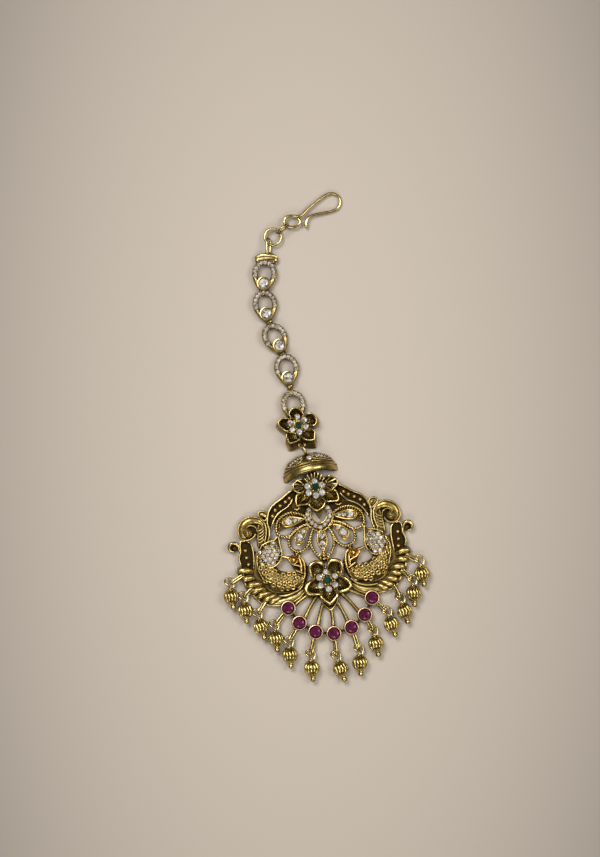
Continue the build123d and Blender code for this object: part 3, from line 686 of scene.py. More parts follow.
def birdWing(side, name):
    metal, stones = bmesh.new(), bmesh.new()
    outline = sideLine(wing["outline"], side, closed=True, steps=4)
    pad(metal, outline, wing["low"], wing["high"])
    dots(metal, toSide([wing["dome"]], side), wing["high"], wing["domeSize"], "ball")
    drop = surfaceOf(metal)
    low, top = wing["low"], wing["rimTop"]
    sweep(metal, sideLine(wing["rim"], side, (low + top) / 2), wing["rimWidth"], top - low, taper=softEnds)

    def within(u, v, margin):
        return inside(u, v, outline) and edgeGap(u, v, outline) > margin
    gap, (cornerU, cornerV) = wing["stoneGap"], wing["corner"]
    for row in range(wing["rows"]):
        v = cornerV + row * gap * rowPitch
        for k in range(wing["perRow"]):
            u = side * (cornerU + gap * (k + 0.5 * (row % 2)))
            if within(u, v, wing["stoneMargin"]):
                hit, normal = drop(u, v)
                setStone(metal, stones, hit + normal * 0.1, wing["stoneRadius"], normal, 0,
                         random.uniform(0, 3))
            for rise in (gap * 0.29, -gap * 0.29):  # grains in the gaps between three stones
                if within(u + gap / 2, v + rise, wing["grainMargin"]):
                    hit, normal = drop(u + gap / 2, v + rise)
                    stamp(metal, shapes["grain"], stand(hit + normal * 0.1, normal, 0, wing["grainRadius"]))
    finishPiece(name, metal, pendantPlace, "antique")
    finishPiece(name + "_stones", stones, pendantPlace, "clear", facets=True)


# Tail feathers: stem, slanting ribs and the curl that ends in a ball
tail = dict(
    stem=[(13.6, 11.2), (14.6, 10.7), (15.9, 10.2), (16.0, 12.0), (15.8, 13.5), (15.6, 14.8), (15.0, 16.5),
          (13.9, 16.4), (13.4, 14.6), (13.6, 12.8)], stemTop=1.5,
    rib=[(14.0, 12.3), (14.65, 11.6), (15.7, 11.2)], ribStep=(-0.03, 0.72), ribs=5, ribWidth=0.42,
    band=[(14.0, 14.6), (14.3, 15.9), (15.3, 16.75), (16.9, 16.95), (18.3, 16.3), (19.1, 15.0), (19.2, 13.7),
          (18.6, 12.8)],
    bandWidth=2.3, bandHeight=1.7, bandMiddle=1.25, bandSizes=(0.25, 0.6, 0.85, 1.0, 0.95, 0.8, 0.6, 0.35),
    rim=[(13.5, 15.6), (14.4, 17.0), (15.6, 17.75), (17.1, 17.95), (18.9, 17.1), (19.95, 15.4), (20.0, 13.7),
         (19.2, 12.5), (17.8, 12.3), (16.6, 12.8), (16.0, 13.6)],
    inner=[(15.5, 13.6), (15.7, 14.9), (16.3, 15.6), (17.3, 15.8), (18.2, 15.3)],
    ball=(17.8, 14.1), ballRadius=1.3, ballMiddle=1.2, spot=0.42,
    comma=[(12.7, 17.4), (12.75, 18.3), (13.6, 19.0), (14.6, 18.8), (14.9, 18.1), (14.3, 17.2), (13.4, 16.6)],
)


def tailFeather(side, name):
    bm, broad = bmesh.new(), bmesh.new()
    pad(broad, sideLine(tail["stem"], side, closed=True, steps=4), 0.6, tail["stemTop"], crown(0.35, 0.3, 3))
    stepU, stepV = tail["ribStep"]
    for k in range(tail["ribs"]):
        rib = [(u + k * stepU, v + k * stepV) for u, v in tail["rib"]]
        sweep(bm, sideLine(rib, side, 1.65), tail["ribWidth"], 0.7, taper=swell(0.45))
    sweep(broad, sideLine(tail["band"], side, tail["bandMiddle"]), tail["bandWidth"], tail["bandHeight"],
          sides=18, taper=steady(tail["bandSizes"]))
    finishPiece(name + "_band", broad, pendantPlace, "aged")
    sweep(bm, sideLine(tail["rim"], side, 1.2), 0.45, 1.6)
    sweep(bm, sideLine(tail["inner"], side, 1.5), 0.36, 1.2, taper=swell(0.5))
    ball = toSide([tail["ball"]], side)
    dots(bm, ball, tail["ballMiddle"], tail["ballRadius"], "ball")
    dots(bm, ball, tail["ballMiddle"] + tail["ballRadius"], tail["spot"], "ball")
    pad(bm, sideLine(tail["comma"], side, closed=True, steps=4), 0.5, 2.0, crown(0.8, 0.9, 4))
    sweep(bm, sideLine(tail["comma"], side, 1.3, closed=True), 0.5, 1.6, closed=True)
    finishPiece(name, bm, pendantPlace, "olive")


# Fluted crescent under each bird: lobe middles with their direction, then the long ridges
gadroon = dict(
    lobes=(
        [(21.3, 4.6), (20.6, 5.0), (19.3, 4.85), (18.2, 4.5), (17.4, 3.8)],
        [(20.3, 2.3), (19.6, 2.8), (18.3, 2.95), (17.1, 2.5)],
        [(19.6, 0.65), (18.5, 1.15), (17.0, 1.25), (15.7, 0.8)],
        [(18.6, -0.95), (17.5, -0.35), (16.3, -0.1), (14.8, -0.45)],
        [(17.4, -2.4), (16.5, -1.7), (15.1, -1.35), (13.6, -1.5)],
        [(16.2, -3.4), (15.1, -2.75), (13.7, -2.15), (12.4, -1.8)],
        [(14.9, -4.1), (13.8, -3.5), (12.6, -2.85), (11.3, -2.45)],
    ),
    width=1.62, high=2.1, middle=1.2, sizes=(0.62, 0.95, 1.0, 0.95, 0.75, 0.3),
    rise=(-0.35, 0.0, 0.05, -0.25, -0.6), ridges=(
        (0.62, 2.0, [(12.4, -2.35), (11.0, -2.5), (9.3, -2.3), (7.3, -1.6), (5.9, -0.3)]),
        (1.9, 1.5, [(14.2, -4.0), (12.2, -3.85), (10.2, -3.6), (8.0, -2.95), (6.2, -1.7)]),
        (0.6, 1.3, [(17.4, -2.9), (16.2, -3.8), (14.2, -4.5), (12.0, -4.7), (9.6, -4.45), (7.4, -3.5),
                    (5.9, -2.2)]),
    ),
    edge=[(21.2, 4.5), (20.7, 3.4), (20.1, 2.0), (19.6, 0.6), (18.9, -0.6), (17.9, -2.1), (16.9, -3.2)],
)


def flutedCrescent(side, name):
    bm = bmesh.new()
    for points in gadroon["lobes"]:
        rise = steady(gadroon["rise"])
        raised = [(u, v, rise(k / (len(points) - 1))) for k, (u, v) in enumerate(points)]
        sweep(bm, sideLine(raised, side, gadroon["middle"]), gadroon["width"], gadroon["high"], sides=14,
              taper=steady(gadroon["sizes"]))
    for width, high, points in gadroon["ridges"]:
        sweep(bm, sideLine(points, side, 0.4 + high / 2), width, high, sides=14,
              taper=lambda t: 0.3 + 0.7 * sin(pi * (0.1 + 0.8 * t)))
    sweep(bm, sideLine(gadroon["edge"], side, 0.8), 0.8, 1.2, sides=12, taper=softEnds)
    finishPiece(name, bm, pendantPlace, "olive")


# Pierced lotus between the flowers: roped loops, raised drops and their stones
lotus = dict(
    ropes=(
        [(3.3, 15.4), (3.7, 16.5), (5.0, 17.3), (7.0, 17.75), (9.0, 17.2), (10.4, 16.0), (10.95, 14.4),
         (10.8, 12.9), (9.5, 12.0), (7.8, 12.0), (6.3, 13.1), (4.7, 14.0), (3.2, 14.5)],
        [(2.6, 13.6), (3.4, 14.2), (5.0, 14.0), (6.8, 13.0), (8.0, 11.5), (8.25, 9.9), (7.6, 8.6), (6.3, 7.9),
         (5.0, 8.1), (3.7, 9.1), (3.1, 10.6), (2.4, 12.4)],
        [(2.0, 12.9), (2.65, 11.5), (2.95, 9.9), (2.6, 8.0), (1.6, 6.4), (0.75, 5.5)],
    ),
    ropeBed=0.5, ropeMiddle=1.5, grainGap=0.66, grainSize=(0.62, 0.34, 0.46), grainSlant=0.62,
    drops=(
        ([(3.9, 15.8), (5.4, 16.35), (7.1, 16.75), (8.8, 16.3), (9.3, 15.3), (8.5, 14.5), (6.8, 14.6),
          (5.2, 15.1)], 2.05),
        ([(3.2, 13.5), (4.6, 13.3), (5.9, 12.6), (6.7, 11.3), (6.4, 10.0), (5.5, 9.7), (4.6, 10.6),
          (3.9, 12.1)], 2.05),
    ),
    dropRim=0.42,
    stones=((7.7, 15.6, 0.92), (6.1, 15.75, 0.55), (5.0, 15.7, 0.42), (5.5, 11.4, 0.95), (4.4, 12.75, 0.58)),
    prongs=((8.75, 15.9), (8.75, 14.95), (6.95, 14.95), (6.8, 16.35), (5.5, 10.15), (6.45, 12.0),
            (4.55, 11.0), (5.3, 12.7)),
    heart=[(1.6, 18.6), (2.45, 17.8), (2.85, 16.8), (2.65, 15.7), (2.05, 14.7), (1.15, 13.75), (0, 13.15)],
    heartTop=2.0,
    heartFloor=[(1.5, 18.2), (2.1, 17.2), (2.15, 16.2), (1.65, 15.2), (0.8, 14.45), (0, 14.2)],
    tongue=[(-1.0, 17.8), (-0.85, 16.9), (-0.4, 16.0), (0, 15.4), (0.45, 15.9), (1.0, 16.8), (1.1, 17.8)],
    heartStones=((2.35, 17.8), (2.85, 16.75), (2.65, 15.65), (2.05, 14.65), (1.15, 13.8)),
    heartEnd=(0, 13.15), heartRadius=0.54,
    heartRim=[(3.35, 15.3), (2.75, 14.1), (1.85, 13.1), (0.95, 12.45), (0, 12.2)],
    marquise=[(0, 12.5), (0.9, 11.5), (1.2, 10.1), (0.85, 8.6), (0, 7.2)],
    marquiseStones=((0, 11.15, 0.78), (0, 9.2, 0.68), (0, 8.05, 0.36)),
    marquiseProngs=((0.85, 10.2), (0.9, 11.9), (0.6, 8.3)),
    knot=[(0.9, 6.7), (1.25, 6.0), (0.85, 5.2)],
    upperRow=[(4.8, 16.85), (6.5, 17.2), (8.1, 17.0), (9.4, 16.3), (10.1, 15.3), (10.2, 14.3)], upperGap=0.62,
    bar=[(4.4, 18.7), (5.2, 18.3), (5.9, 18.6)],
    strips=(  # line, height of its middle, width, height, sides
        ("heartFloor", 0.95, 0.5, 1.1, 10), ("heart", 1.2, 1.3, 1.6, 12), ("heartRim", 1.1, 0.4, 1.5, 10),
        ("marquise", 1.15, 0.4, 1.6, 10), ("knot", 1.2, 0.55, 1.2, 10), ("bar", 1.2, 0.5, 0.9, 10),
    ),
    marquiseBed=[(0, 12.5), (0.9, 11.4), (1.1, 10.2), (0.8, 8.7), (0, 7.3), (-0.8, 8.7), (-1.1, 10.2),
                 (-0.9, 11.4)],
    stem=[(0, 7.4), (0, 6.6), (0, 5.1)], stemKnots=((0, 6.2), (0, 5.35)), knotSize=(0.72, 0.44, 0.6),
)


def lotusPierced():
    ropes, metal, stones = bmesh.new(), bmesh.new(), bmesh.new()
    middle, bed, heartHigh = lotus["ropeMiddle"], lotus["ropeBed"], lotus["heartTop"] + 0.08
    for side in (1, -1):
        for points in lotus["ropes"]:
            sweep(ropes, sideLine(points, side, (middle + bed) / 2), 0.5, middle - bed + 0.2)
            for point, run in rowAlong(sideLine(points, side, middle), lotus["grainGap"]):
                turn = atan2(run.y, run.x) + lotus["grainSlant"] * side
                stamp(ropes, shapes["grain"], stand(point, up, turn, lotus["grainSize"]))
        for point, _ in rowAlong(sideLine(lotus["upperRow"], side, 1.2), lotus["upperGap"]):
            stamp(metal, shapes["grain"], stand(point, size=0.24))
        for outline, high in lotus["drops"]:
            pad(metal, sideLine(outline, side, closed=True, steps=4), 0.4, high - 0.25, crown(0.3, 0.2, 2))
            sweep(metal, sideLine(outline, side, (high + 0.4) / 2, closed=True), lotus["dropRim"], high - 0.4,
                  closed=True, sides=8)
        for u, v, radius in lotus["stones"]:
            setStone(metal, stones, (side * u, v, 1.9), radius, kind="bigStone")
        for u, v in lotus["heartStones"]:
            setStone(metal, stones, (side * u, v, heartHigh), lotus["heartRadius"], grains=3,
                     turn=random.uniform(0, 2))
        for row, high, size in (("prongs", 2.0, 0.3), ("marquiseProngs", 1.95, 0.27)):
            dots(metal, [(side * u, v) for u, v in lotus[row]], high, size)
        for line, high, width, tall, sides in lotus["strips"]:
            sweep(metal, sideLine(lotus[line], side, high), width, tall, sides=sides)
    setStone(metal, stones, (*lotus["heartEnd"], heartHigh), lotus["heartRadius"], grains=4)
    pad(metal, smoothLine(lotus["marquiseBed"], closed=True), 0.4, 1.5)
    for u, v, radius in lotus["marquiseStones"]:
        setStone(metal, stones, (u, v, 1.75), radius, kind="bigStone")
    sweep(metal, smoothLine(lotus["stem"], 1.0), 1.2, 1.2, sides=14, taper=lambda t: 0.55 + 0.45 * t)
    dots(metal, lotus["stemKnots"], 1.5, lotus["knotSize"], "ball")
    finishPiece("lotus_ropes", ropes, pendantPlace, "antique")
    finishPiece("lotus_settings", metal, pendantPlace, "warm")
    finishPiece("lotus_stones", stones, pendantPlace, "clear", facets=True)


# Flowers: petals with upturned rims, ribs in their cups, six clear stones and a green one
ribLook = dict(
    strong=1.9, startShare=0.45,    # raised petals have stronger ribs; ribs reach the outer part of the rim
    ends=(0.95, 0.15), raisedEnds=(1.0, -0.1),    # share of the way to the rim, and how far below its top
)


def petal(bm, walls, outline, heart, look, side=1, raised=0.0, flare=None):
    points = [(u + heart[0], v + heart[1]) for u, v in toSide(outline, side)]
    flat = smoothLine(points, closed=True, steps=5)
    floor, rib = look["floor"] + raised, look["rib"] * (ribLook["strong"] if raised else 1.0)
    pad(bm, flat, look["low"], floor, look["cup"])
    middle = Vector((heart[0], heart[1], 0))
    if flare:
        flaredWall(walls, flat, middle, look, *flare)
    reach = [(p - middle).length for p in flat]
    far, near = max(reach), min(reach)

    def lift(distance):
        share = (distance - near) / (far - near)
        return look["inner"] + (look["outer"] - look["inner"]) * min(1.0, share * 1.5)
    rim = [Vector((p.x, p.y, lift(r) - look["wall"] / 2)) for p, r in zip(flat, reach)]
    sizes = [0.75 + look["fold"] * (r - near) / (far - near) for r in reach]
    sweep(bm, rim, look["rim"], look["wall"], closed=True, sides=10,
          taper=lambda t: sizes[round(t * (len(sizes) - 1)) % len(sizes)])
    # the wall below the rim, down to the plate
    skirt = [Vector((p.x, p.y, (look["low"] + look["floor"]) / 2)) for p in flat]
    sweep(bm, skirt, look["rim"] * 0.8, look["floor"] - look["low"] + 0.5, closed=True, sides=8)
    root = flat[reach.index(near)]
    reached, sunk = ribLook["raisedEnds" if raised else "ends"]
    for p, r in list(zip(flat, reach))[::look["ribEvery"] * (2 if raised else 1)]:
        if r < near + ribLook["startShare"] * (far - near):
            continue
        start, end = root.lerp(p, 0.25), root.lerp(p, reached)
        top = lift(r) - sunk - rib * 0.5
        halfway = (floor + top) / 2 + 0.25 if raised else floor + 0.42
        line = [(start.x, start.y, floor + 0.2), (*(start.lerp(end, 0.5))[:2], halfway), (end.x, end.y, top)]
        sweep(bm, smoothLine(line, steps=4), rib, rib * 1.4, sides=8, taper=lambda t: 0.5 + 0.5 * t)


def flaredWall(bm, outline, middle, look, scale, shift):
    # the outer wall, wider and lower towards the back
    part = bmesh.new()
    base = part.faces.new([part.verts.new((p.x, p.y, 0)) for p in outline])
    made = bmesh.ops.extrude_face_region(part, geom=[base])["geom"]
    rim = look["floor"] + 0.9
    for vert in part.verts:
        vert.co.z = rim
    for vert in [g for g in made if isinstance(g, bmesh.types.BMVert)]:
        vert.co = middle + (vert.co - middle) * scale + Vector((0, shift, 0))
        vert.co.z = 0.5
    lid = [f for f in part.faces if min(v.co.z for v in f.verts) > rim - 0.01]
    bmesh.ops.delete(part, geom=lid, context="FACES_ONLY")
    join(bm, part)


def flowerMiddle(metal, stones, look):
    # a boss with clear stones in cups and grains of metal between them
    (x, y), wide, top = look["heart"], look["boss"], look["bossTop"]
    sides = [(wide * share, z) for share, z in look["bossSides"]]
    boss = lathe([(0, sides[0][1])] + sides + [(wide * 0.5, top), (0, top)], 32)
    join(metal, placedPart(boss, placeAt(x, y)))
    height = look["stoneHeight"]
    for k, (u, v) in enumerate(look["stones"]):
        setStone(metal, stones, (x + u, y + v, height), look["stoneRadius"] * (1.0 + 0.06 * (k % 2)),
                 kind="bigStone", turn=k * 0.5)
    dots(metal, [(x + u, y + v) for u, v in look["balls"]], height + 0.15, look["ballSize"], "ball")


blossoms = dict(
    bottom=dict(
        heart=(0, 0), boss=2.3, bossTop=2.75, stoneHeight=2.95, stoneRadius=0.74, ballSize=0.34,
        bossSides=((0.9, 0.5), (1.0, 1.9), (0.86, 2.5)),
        look=dict(low=0.5, floor=1.45, inner=2.2, outer=3.1, wall=1.1, rim=0.52, rib=0.30, ribEvery=3,
                  fold=1.3, cup=((0.2, -0.35), (0.3, -0.3), (0.4, -0.25))),
        petals=([(0.4, 2.6), (0.9, 4.2), (2.2, 4.75), (3.7, 4.1), (4.0, 2.7), (3.5, 1.3), (2.0, 1.0)],
                [(2.2, 0.3), (3.8, 0.3), (4.9, -0.5), (5.45, -1.4), (5.5, -2.2), (4.9, -2.8), (3.6, -3.1),
                 (2.5, -3.2), (1.9, -2.4)]),
        raised=(0.0, 0.0), flares=(None, (1.19, -0.25)), middleFlare=(1.12, -0.1),
        middle=[(-1.5, -2.5), (0, -2.0), (1.5, -2.5), (2.0, -3.9), (1.1, -5.0), (0, -5.8), (-1.1, -5.0),
                (-2.0, -3.9)],
        stones=((-0.03, 1.99), (-1.86, 0.9), (2.03, 0.78), (-1.8, -1.16), (1.78, -1.38), (0.12, -2.29)),
        balls=((-0.62, 1.22), (0.63, 1.26), (-1.16, 0.16), (1.3, -0.2), (-0.58, -1.0), (0.78, -1.01),
               (-2.9, 1.67), (2.95, 1.57), (-2.86, -1.55), (2.95, -1.68), (0.15, -3.46), (0, 3.15)),
        under=[(-2.05, -4.3), (-1.8, -5.5), (-1.0, -6.6), (0, -7.4), (1.0, -6.6), (1.7, -5.5), (2.05, -4.4)],
    ),
    top=dict(
        heart=(0, 23.3), boss=2.4, bossTop=2.75, stoneHeight=2.95, stoneRadius=0.76, ballSize=0.27,
        bossSides=((0.9, 0.5), (1.0, 1.9), (0.86, 2.5)),
        look=dict(low=0.5, floor=1.4, inner=2.1, outer=3.2, wall=1.1, rim=0.42, rib=0.30, ribEvery=3,
                  fold=0.55, cup=((0.2, -0.35), (0.3, -0.3), (0.4, -0.25))),
        petals=([(1.8, 1.1), (2.5, 1.9), (3.7, 2.35), (4.7, 1.85), (5.45, 1.1), (5.4, 0.0), (4.9, -0.5),
                 (3.9, -1.05), (2.3, -0.8)],
                [(1.8, -1.4), (3.4, -1.2), (4.7, -1.4), (5.2, -2.6), (5.25, -3.75), (4.9, -4.05), (3.6, -4.0),
                 (2.2, -3.9), (1.5, -2.9)]),
        raised=(0.75, 0.0), flares=(None, (1.06, -0.2)), middleFlare=(1.08, -0.2),
        middle=[(-1.7, -3.0), (0, -2.5), (1.6, -3.0), (1.8, -4.2), (1.1, -5.3), (-0.2, -5.85), (-1.4, -5.2),
                (-2.1, -4.1)],
        stones=((-0.05, 1.35), (1.65, 0.2), (-1.95, 0.35), (1.5, -1.6), (-1.85, -1.25), (-0.1, -2.1)),
        balls=((0.85, 0.85), (-0.85, 0.85), (0.65, -0.85), (-0.65, -0.85), (-1.2, -0.25), (1.25, -0.7),
               (2.9, 0.8), (-3.0, 0.9), (2.8, -1.75), (-2.9, -1.85)),
        under=None,
    ),
)
crumpled = dict(outline=[(-2.3, 0.9), (-2.3, 2.3), (-1.5, 3.1), (-0.3, 3.6), (1.0, 3.45), (1.9, 2.6),
                         (2.2, 0.9)],
                ridges=[(-1.5, 1.1, -2.3, 2.2), (-0.9, 1.4, -1.6, 3.05), (-0.4, 1.7, -0.75, 3.6),
                        (0.1, 1.8, 0.2, 3.7), (0.6, 1.7, 1.1, 3.45), (1.1, 1.3, 1.8, 2.7),
                        (1.5, 0.9, 2.3, 1.8)], width=0.40, top=3.25)


def blossom(key):
    look = blossoms[key]
    metal, walls, stones = bmesh.new(), bmesh.new(), bmesh.new()
    x, y = look["heart"]
    for side in (1, -1):
        for outline, raised, flare in zip(look["petals"], look["raised"], look["flares"]):
            petal(metal, walls, outline, look["heart"], look["look"], side, raised, flare)
    petal(metal, walls, look["middle"], look["heart"], look["look"], flare=look["middleFlare"])
    if look["under"]:
        pad(walls, smoothLine(look["under"], closed=True), 0.5, 0.9)
        sweep(metal, smoothLine(look["under"], 1.2), 0.5, 1.4)
    else:
        shell = smoothLine([(u, v + y) for u, v in crumpled["outline"]], closed=True)
        pad(metal, shell, 0.5, 1.7, crown(0.4, 0.3, 2))
        for u0, v0, u1, v1 in crumpled["ridges"]:
            line = [(u0, y + v0, -0.6), ((u0 + u1) / 2, y + (v0 + v1) / 2, 0.0), (u1, y + v1, -0.15)]
            sweep(metal, smoothLine(line, crumpled["top"] - 0.65, steps=5), crumpled["width"], 1.5, sides=10,
                  taper=lambda t: min(0.6 + 0.45 * t, 0.5 + 6 * (1 - t)))
    finishPiece(f"flower_{key}_walls", walls, pendantPlace, "wall")
    flowerMiddle(metal, stones, look)
    finishPiece("flower_" + key, metal, pendantPlace, "antique")
    finishPiece(f"flower_{key}_stones", stones, pendantPlace, "clear", facets=True)
    greenStone(f"flower_{key}_green", pendantPlace @ placeAt(x, y, look["stoneHeight"] + 0.2),
               "green_stone_" + key)


def greenStone(name, place, node, size=0.86):
    bm = bmesh.new()
    stamp(bm, shapes["cushion"], stand((0, 0, 0), size=size))
    finishPiece(name, bm, place, "emerald", [node], facets=True)


# Red stones on their arc, with the rays that carry them
rubies = dict(
    count=7, radius=11.0, centreV=-2.3, step=24.0, stone=1.50, stoneHeight=2.15,
    wall=[(0, 0.15), (1.90, 0.15), (1.98, 0.6), (1.98, 1.6), (1.92, 2.1), (1.84, 2.45), (1.75, 2.6),
          (1.62, 2.62), (1.54, 2.5), (1.51, 2.2), (1.49, 1.3), (0, 1.3)],
    rays=((1.2, -4.3, 3.8, -10.9), (3.1, -3.6, 6.75, -8.7), (5.0, -2.9, 8.9, -5.25)), rayWidth=1.08,
    rayHigh=1.1, middleRay=(0, -6.9, 0, -11.8), rayMiddle=1.2, rayBend=0.12,
)


def rubySpots():
    half = rubies["count"] // 2
    angles = [radians(-90 + rubies["step"] * k) for k in range(-half, half + 1)]
    return [(rubies["radius"] * cos(a), rubies["radius"] * sin(a) + rubies["centreV"]) for a in angles]


def redStones():
    bars, spots = bmesh.new(), rubySpots()
    rays = [(side * u0, v0, side * u1, v1) for u0, v0, u1, v1 in rubies["rays"] for side in (1, -1)]
    for u0, v0, u1, v1 in rays + [rubies["middleRay"]]:
        bend = rubies["rayBend"] if u0 >= 0 else -rubies["rayBend"]
        line = [(u0, v0), ((u0 + u1) / 2 + bend, (v0 + v1) / 2), (u1, v1)]
        sweep(bars, smoothLine(line, rubies["rayMiddle"]), rubies["rayWidth"], rubies["rayHigh"],
              taper=lambda t: 1.12 - 0.24 * sin(pi * t))
    for pair in zip(spots, spots[1:]):
        sweep(bars, smoothLine(pair, 1.1), 0.62, 0.8)
    finishPiece("rays", bars, pendantPlace, "aged")
    for number, (u, v) in enumerate(spots, 1):
        here = pendantPlace @ placeAt(u, v, turn=number * 0.7)
        finishPiece(f"ruby_setting_{number}", lathe(rubies["wall"], 40), here, "copper")
        bm = bmesh.new()
        dots(bm, [(0, 0)], rubies["stoneHeight"], rubies["stone"], "bigStone")
        finishPiece(f"ruby_stone_{number}", bm, here, "ruby", [f"ruby_{number}"], facets=True)


# Drops: lug on the pendant, wrapped pin, fluted bead and ball
dropLook = dict(
    bead=1.98, tall=1.02, beadMiddle=1.87, loopOffset=3.1, flutes=12, fluteDepth=0.17, steps=8, rings=22,
    lugWide=0.85, lugWire=0.60, lugMiddle=1.75, lugPast=-0.35, lean=0.95,
    pinWire=0.52, ball=0.76, neck=0.45, collar=(0.62, 0.62, 0.26),
    cap=[(0, 1.80), (0.62, 1.80), (0.80, 1.88), (0.78, 2.02), (0.5, 2.08), (0, 2.08)],
    loop=[(0.05, -1.75, 0), (0.35, -1.45, 0.15), (0.25, -0.95, 0.38), (-0.3, -0.35, 0.42), (-0.9, 0.3, 0.3),
          (-1.05, 0.9, 0.05), (-0.6, 1.4, -0.2), (0.1, 1.5, -0.35), (0.8, 1.15, -0.4), (1.1, 0.4, -0.35),
          (1.0, -0.4, -0.3), (0.6, -1.05, -0.2), (0.05, -1.3, 0.05), (-0.3, -1.45, 0.25),
          (-0.25, -1.65, 0.0)],
)
drops = (  # bead, ball and the lug's root on the frame; the inner lugs start on a red stone's setting
    (-24.05, -1.1, -23.95, -3.75, -20.6, 3.7), (-21.1, -4.95, -21.05, -7.6, -18.9, 0.2),
    (-17.7, -9.4, -17.25, -12.1, -16.0, -3.5), (-14.45, -12.8, -14.45, -15.5, None, None),
    (-11.5, -17.2, -11.6, -19.9, None, None), (-6.5, -21.1, -6.55, -23.8, None, None),
    (0.5, -22.1, 1.1, -24.8, None, None), (5.45, -21.3, 5.35, -24.0, None, None),
    (10.0, -17.1, 10.25, -19.8, None, None), (14.4, -12.8, 15.0, -15.45, None, None),
    (18.0, -10.0, 18.5, -12.7, 16.2, -3.4), (20.85, -5.9, 20.8, -8.65, 18.8, 0.2),
    (23.55, -1.35, 23.75, -4.05, 20.4, 3.7),
)


def flutedBead(name, place, node):
    bm, look = bmesh.new(), dropLook
    bmesh.ops.create_uvsphere(bm, u_segments=look["flutes"] * look["steps"], v_segments=look["rings"],
                              radius=look["bead"])
    groove = bm.verts.layers.float.new("groove")
    for vert in bm.verts:
        around = atan2(vert.co.y, vert.co.x) * look["flutes"] / 2
        cut = (1 - abs(sin(around))) ** 1.9
        waist = min(1.0, hypot(vert.co.x, vert.co.y) / look["bead"] * 1.25)
        size = 1 - look["fluteDepth"] * cut * waist
        vert.co.x, vert.co.y = vert.co.x * size, vert.co.y * size
        vert[groove] = cut
    bmesh.ops.scale(bm, vec=(1, 1, look["tall"]), verts=bm.verts)
    for end in (1, -1):
        join(bm, placedPart(lathe(look["cap"], 16), Matrix.Scale(end, 4, up)))
    bm.transform(Matrix.Rotation(pi / 2, 4, "X"))
    finishPiece(name, bm, place, "bead", [node], angle=70)


def drop(number, beadU, beadV, ballU, ballV, lugU, lugV):
    look = dropLook
    run = Vector((ballU - beadU, ballV - beadV, 0)).normalized()
    loop = Vector((beadU, beadV, 0)) - run * look["loopOffset"]
    if lugU is None:
        near = min(rubySpots(), key=lambda m: hypot(m[0] - loop.x, m[1] - loop.y))
        middle = Vector((*near, 0))
        root = middle + (loop - middle).normalized() * (rubies["stone"] + 0.2)
    else:
        root = Vector((lugU, lugV, 0))
    reach = loop - root
    length = reach.length + look["lugPast"]
    lean = look["lean"] * (1 if number % 2 else -1) * (0.8 + 0.05 * (number % 4))
    lug, wide = bmesh.new(), look["lugWide"] / 2
    line = smoothLine([(0, -wide * 0.8), (length * 0.3, -wide), (length * 0.8, -wide), (length, 0),
                       (length * 0.8, wide), (length * 0.3, wide), (0, wide * 0.8), (-0.25, 0)], closed=True)
    sweep(lug, line, look["lugWire"], look["lugWire"] * 1.25, closed=True)
    here = placeAt(root.x, root.y, look["lugMiddle"], atan2(reach.y, reach.x)) @ Matrix.Rotation(lean, 4, "X")
    finishPiece(f"lug_{number}", lug, pendantPlace @ here, "wire")

    here = pendantPlace @ placeAt(loop.x, loop.y, look["beadMiddle"], atan2(run.y, run.x) + pi / 2)
    pin = bmesh.new()
    sweep(pin, smoothLine(look["loop"]), look["pinWire"],
          taper=lambda t: 1.0 if t < 0.9 else 1.0 - (t - 0.9) * 4)
    end = (Vector((ballU, ballV, 0)) - loop).length
    sweep(pin, smoothLine([(0, -1.2), (0, -end)]), look["neck"])
    dots(pin, [(0, -end)], 0, look["ball"], "ball")
    collar = Matrix.Translation((0, -look["loopOffset"] - look["bead"] * look["tall"] - 0.1, 0))
    collar = collar @ Matrix.Rotation(pi / 2, 4, "X") @ Matrix.Diagonal((*look["collar"], 1))
    stamp(pin, shapes["ball"], collar)
    finishPiece(f"drop_{number}_pin", pin, here, "wire", [f"drop_pin_{number}"])
    bead = here @ Matrix.Translation((0, -look["loopOffset"], 0)) @ Matrix.Rotation(number * 0.9, 4, "Y")
    flutedBead(f"drop_{number}_bead", bead, f"drop_bead_{number}")


eyeLook = dict(radius=0.78, wire=0.45, high=0.8, steps=24, rootFrom=0.7, rootWidth=1.3, rootHigh=0.7)


def flatEye(bm, u, v, height, root):
    # a flat eye with a short root towards another place
    look = eyeLook
    turns = [2 * pi * k / look["steps"] for k in range(look["steps"])]
    line = [Vector((u + look["radius"] * cos(a), v + look["radius"] * sin(a), height)) for a in turns]
    sweep(bm, line, look["wire"], look["high"], closed=True)
    middle, end = Vector((u, v, height)), Vector((*root, height))
    step = (end - middle).normalized() * look["rootFrom"]
    sweep(bm, [middle + step, middle + step * 2, end], look["rootWidth"], look["rootHigh"], sides=12)


def pendantEye():
    bm = bmesh.new()
    flatEye(bm, 0, 28.1, 1.5, (0, 26.3))
    finishPiece("pendant_eye", bm, pendantPlace, "antique")


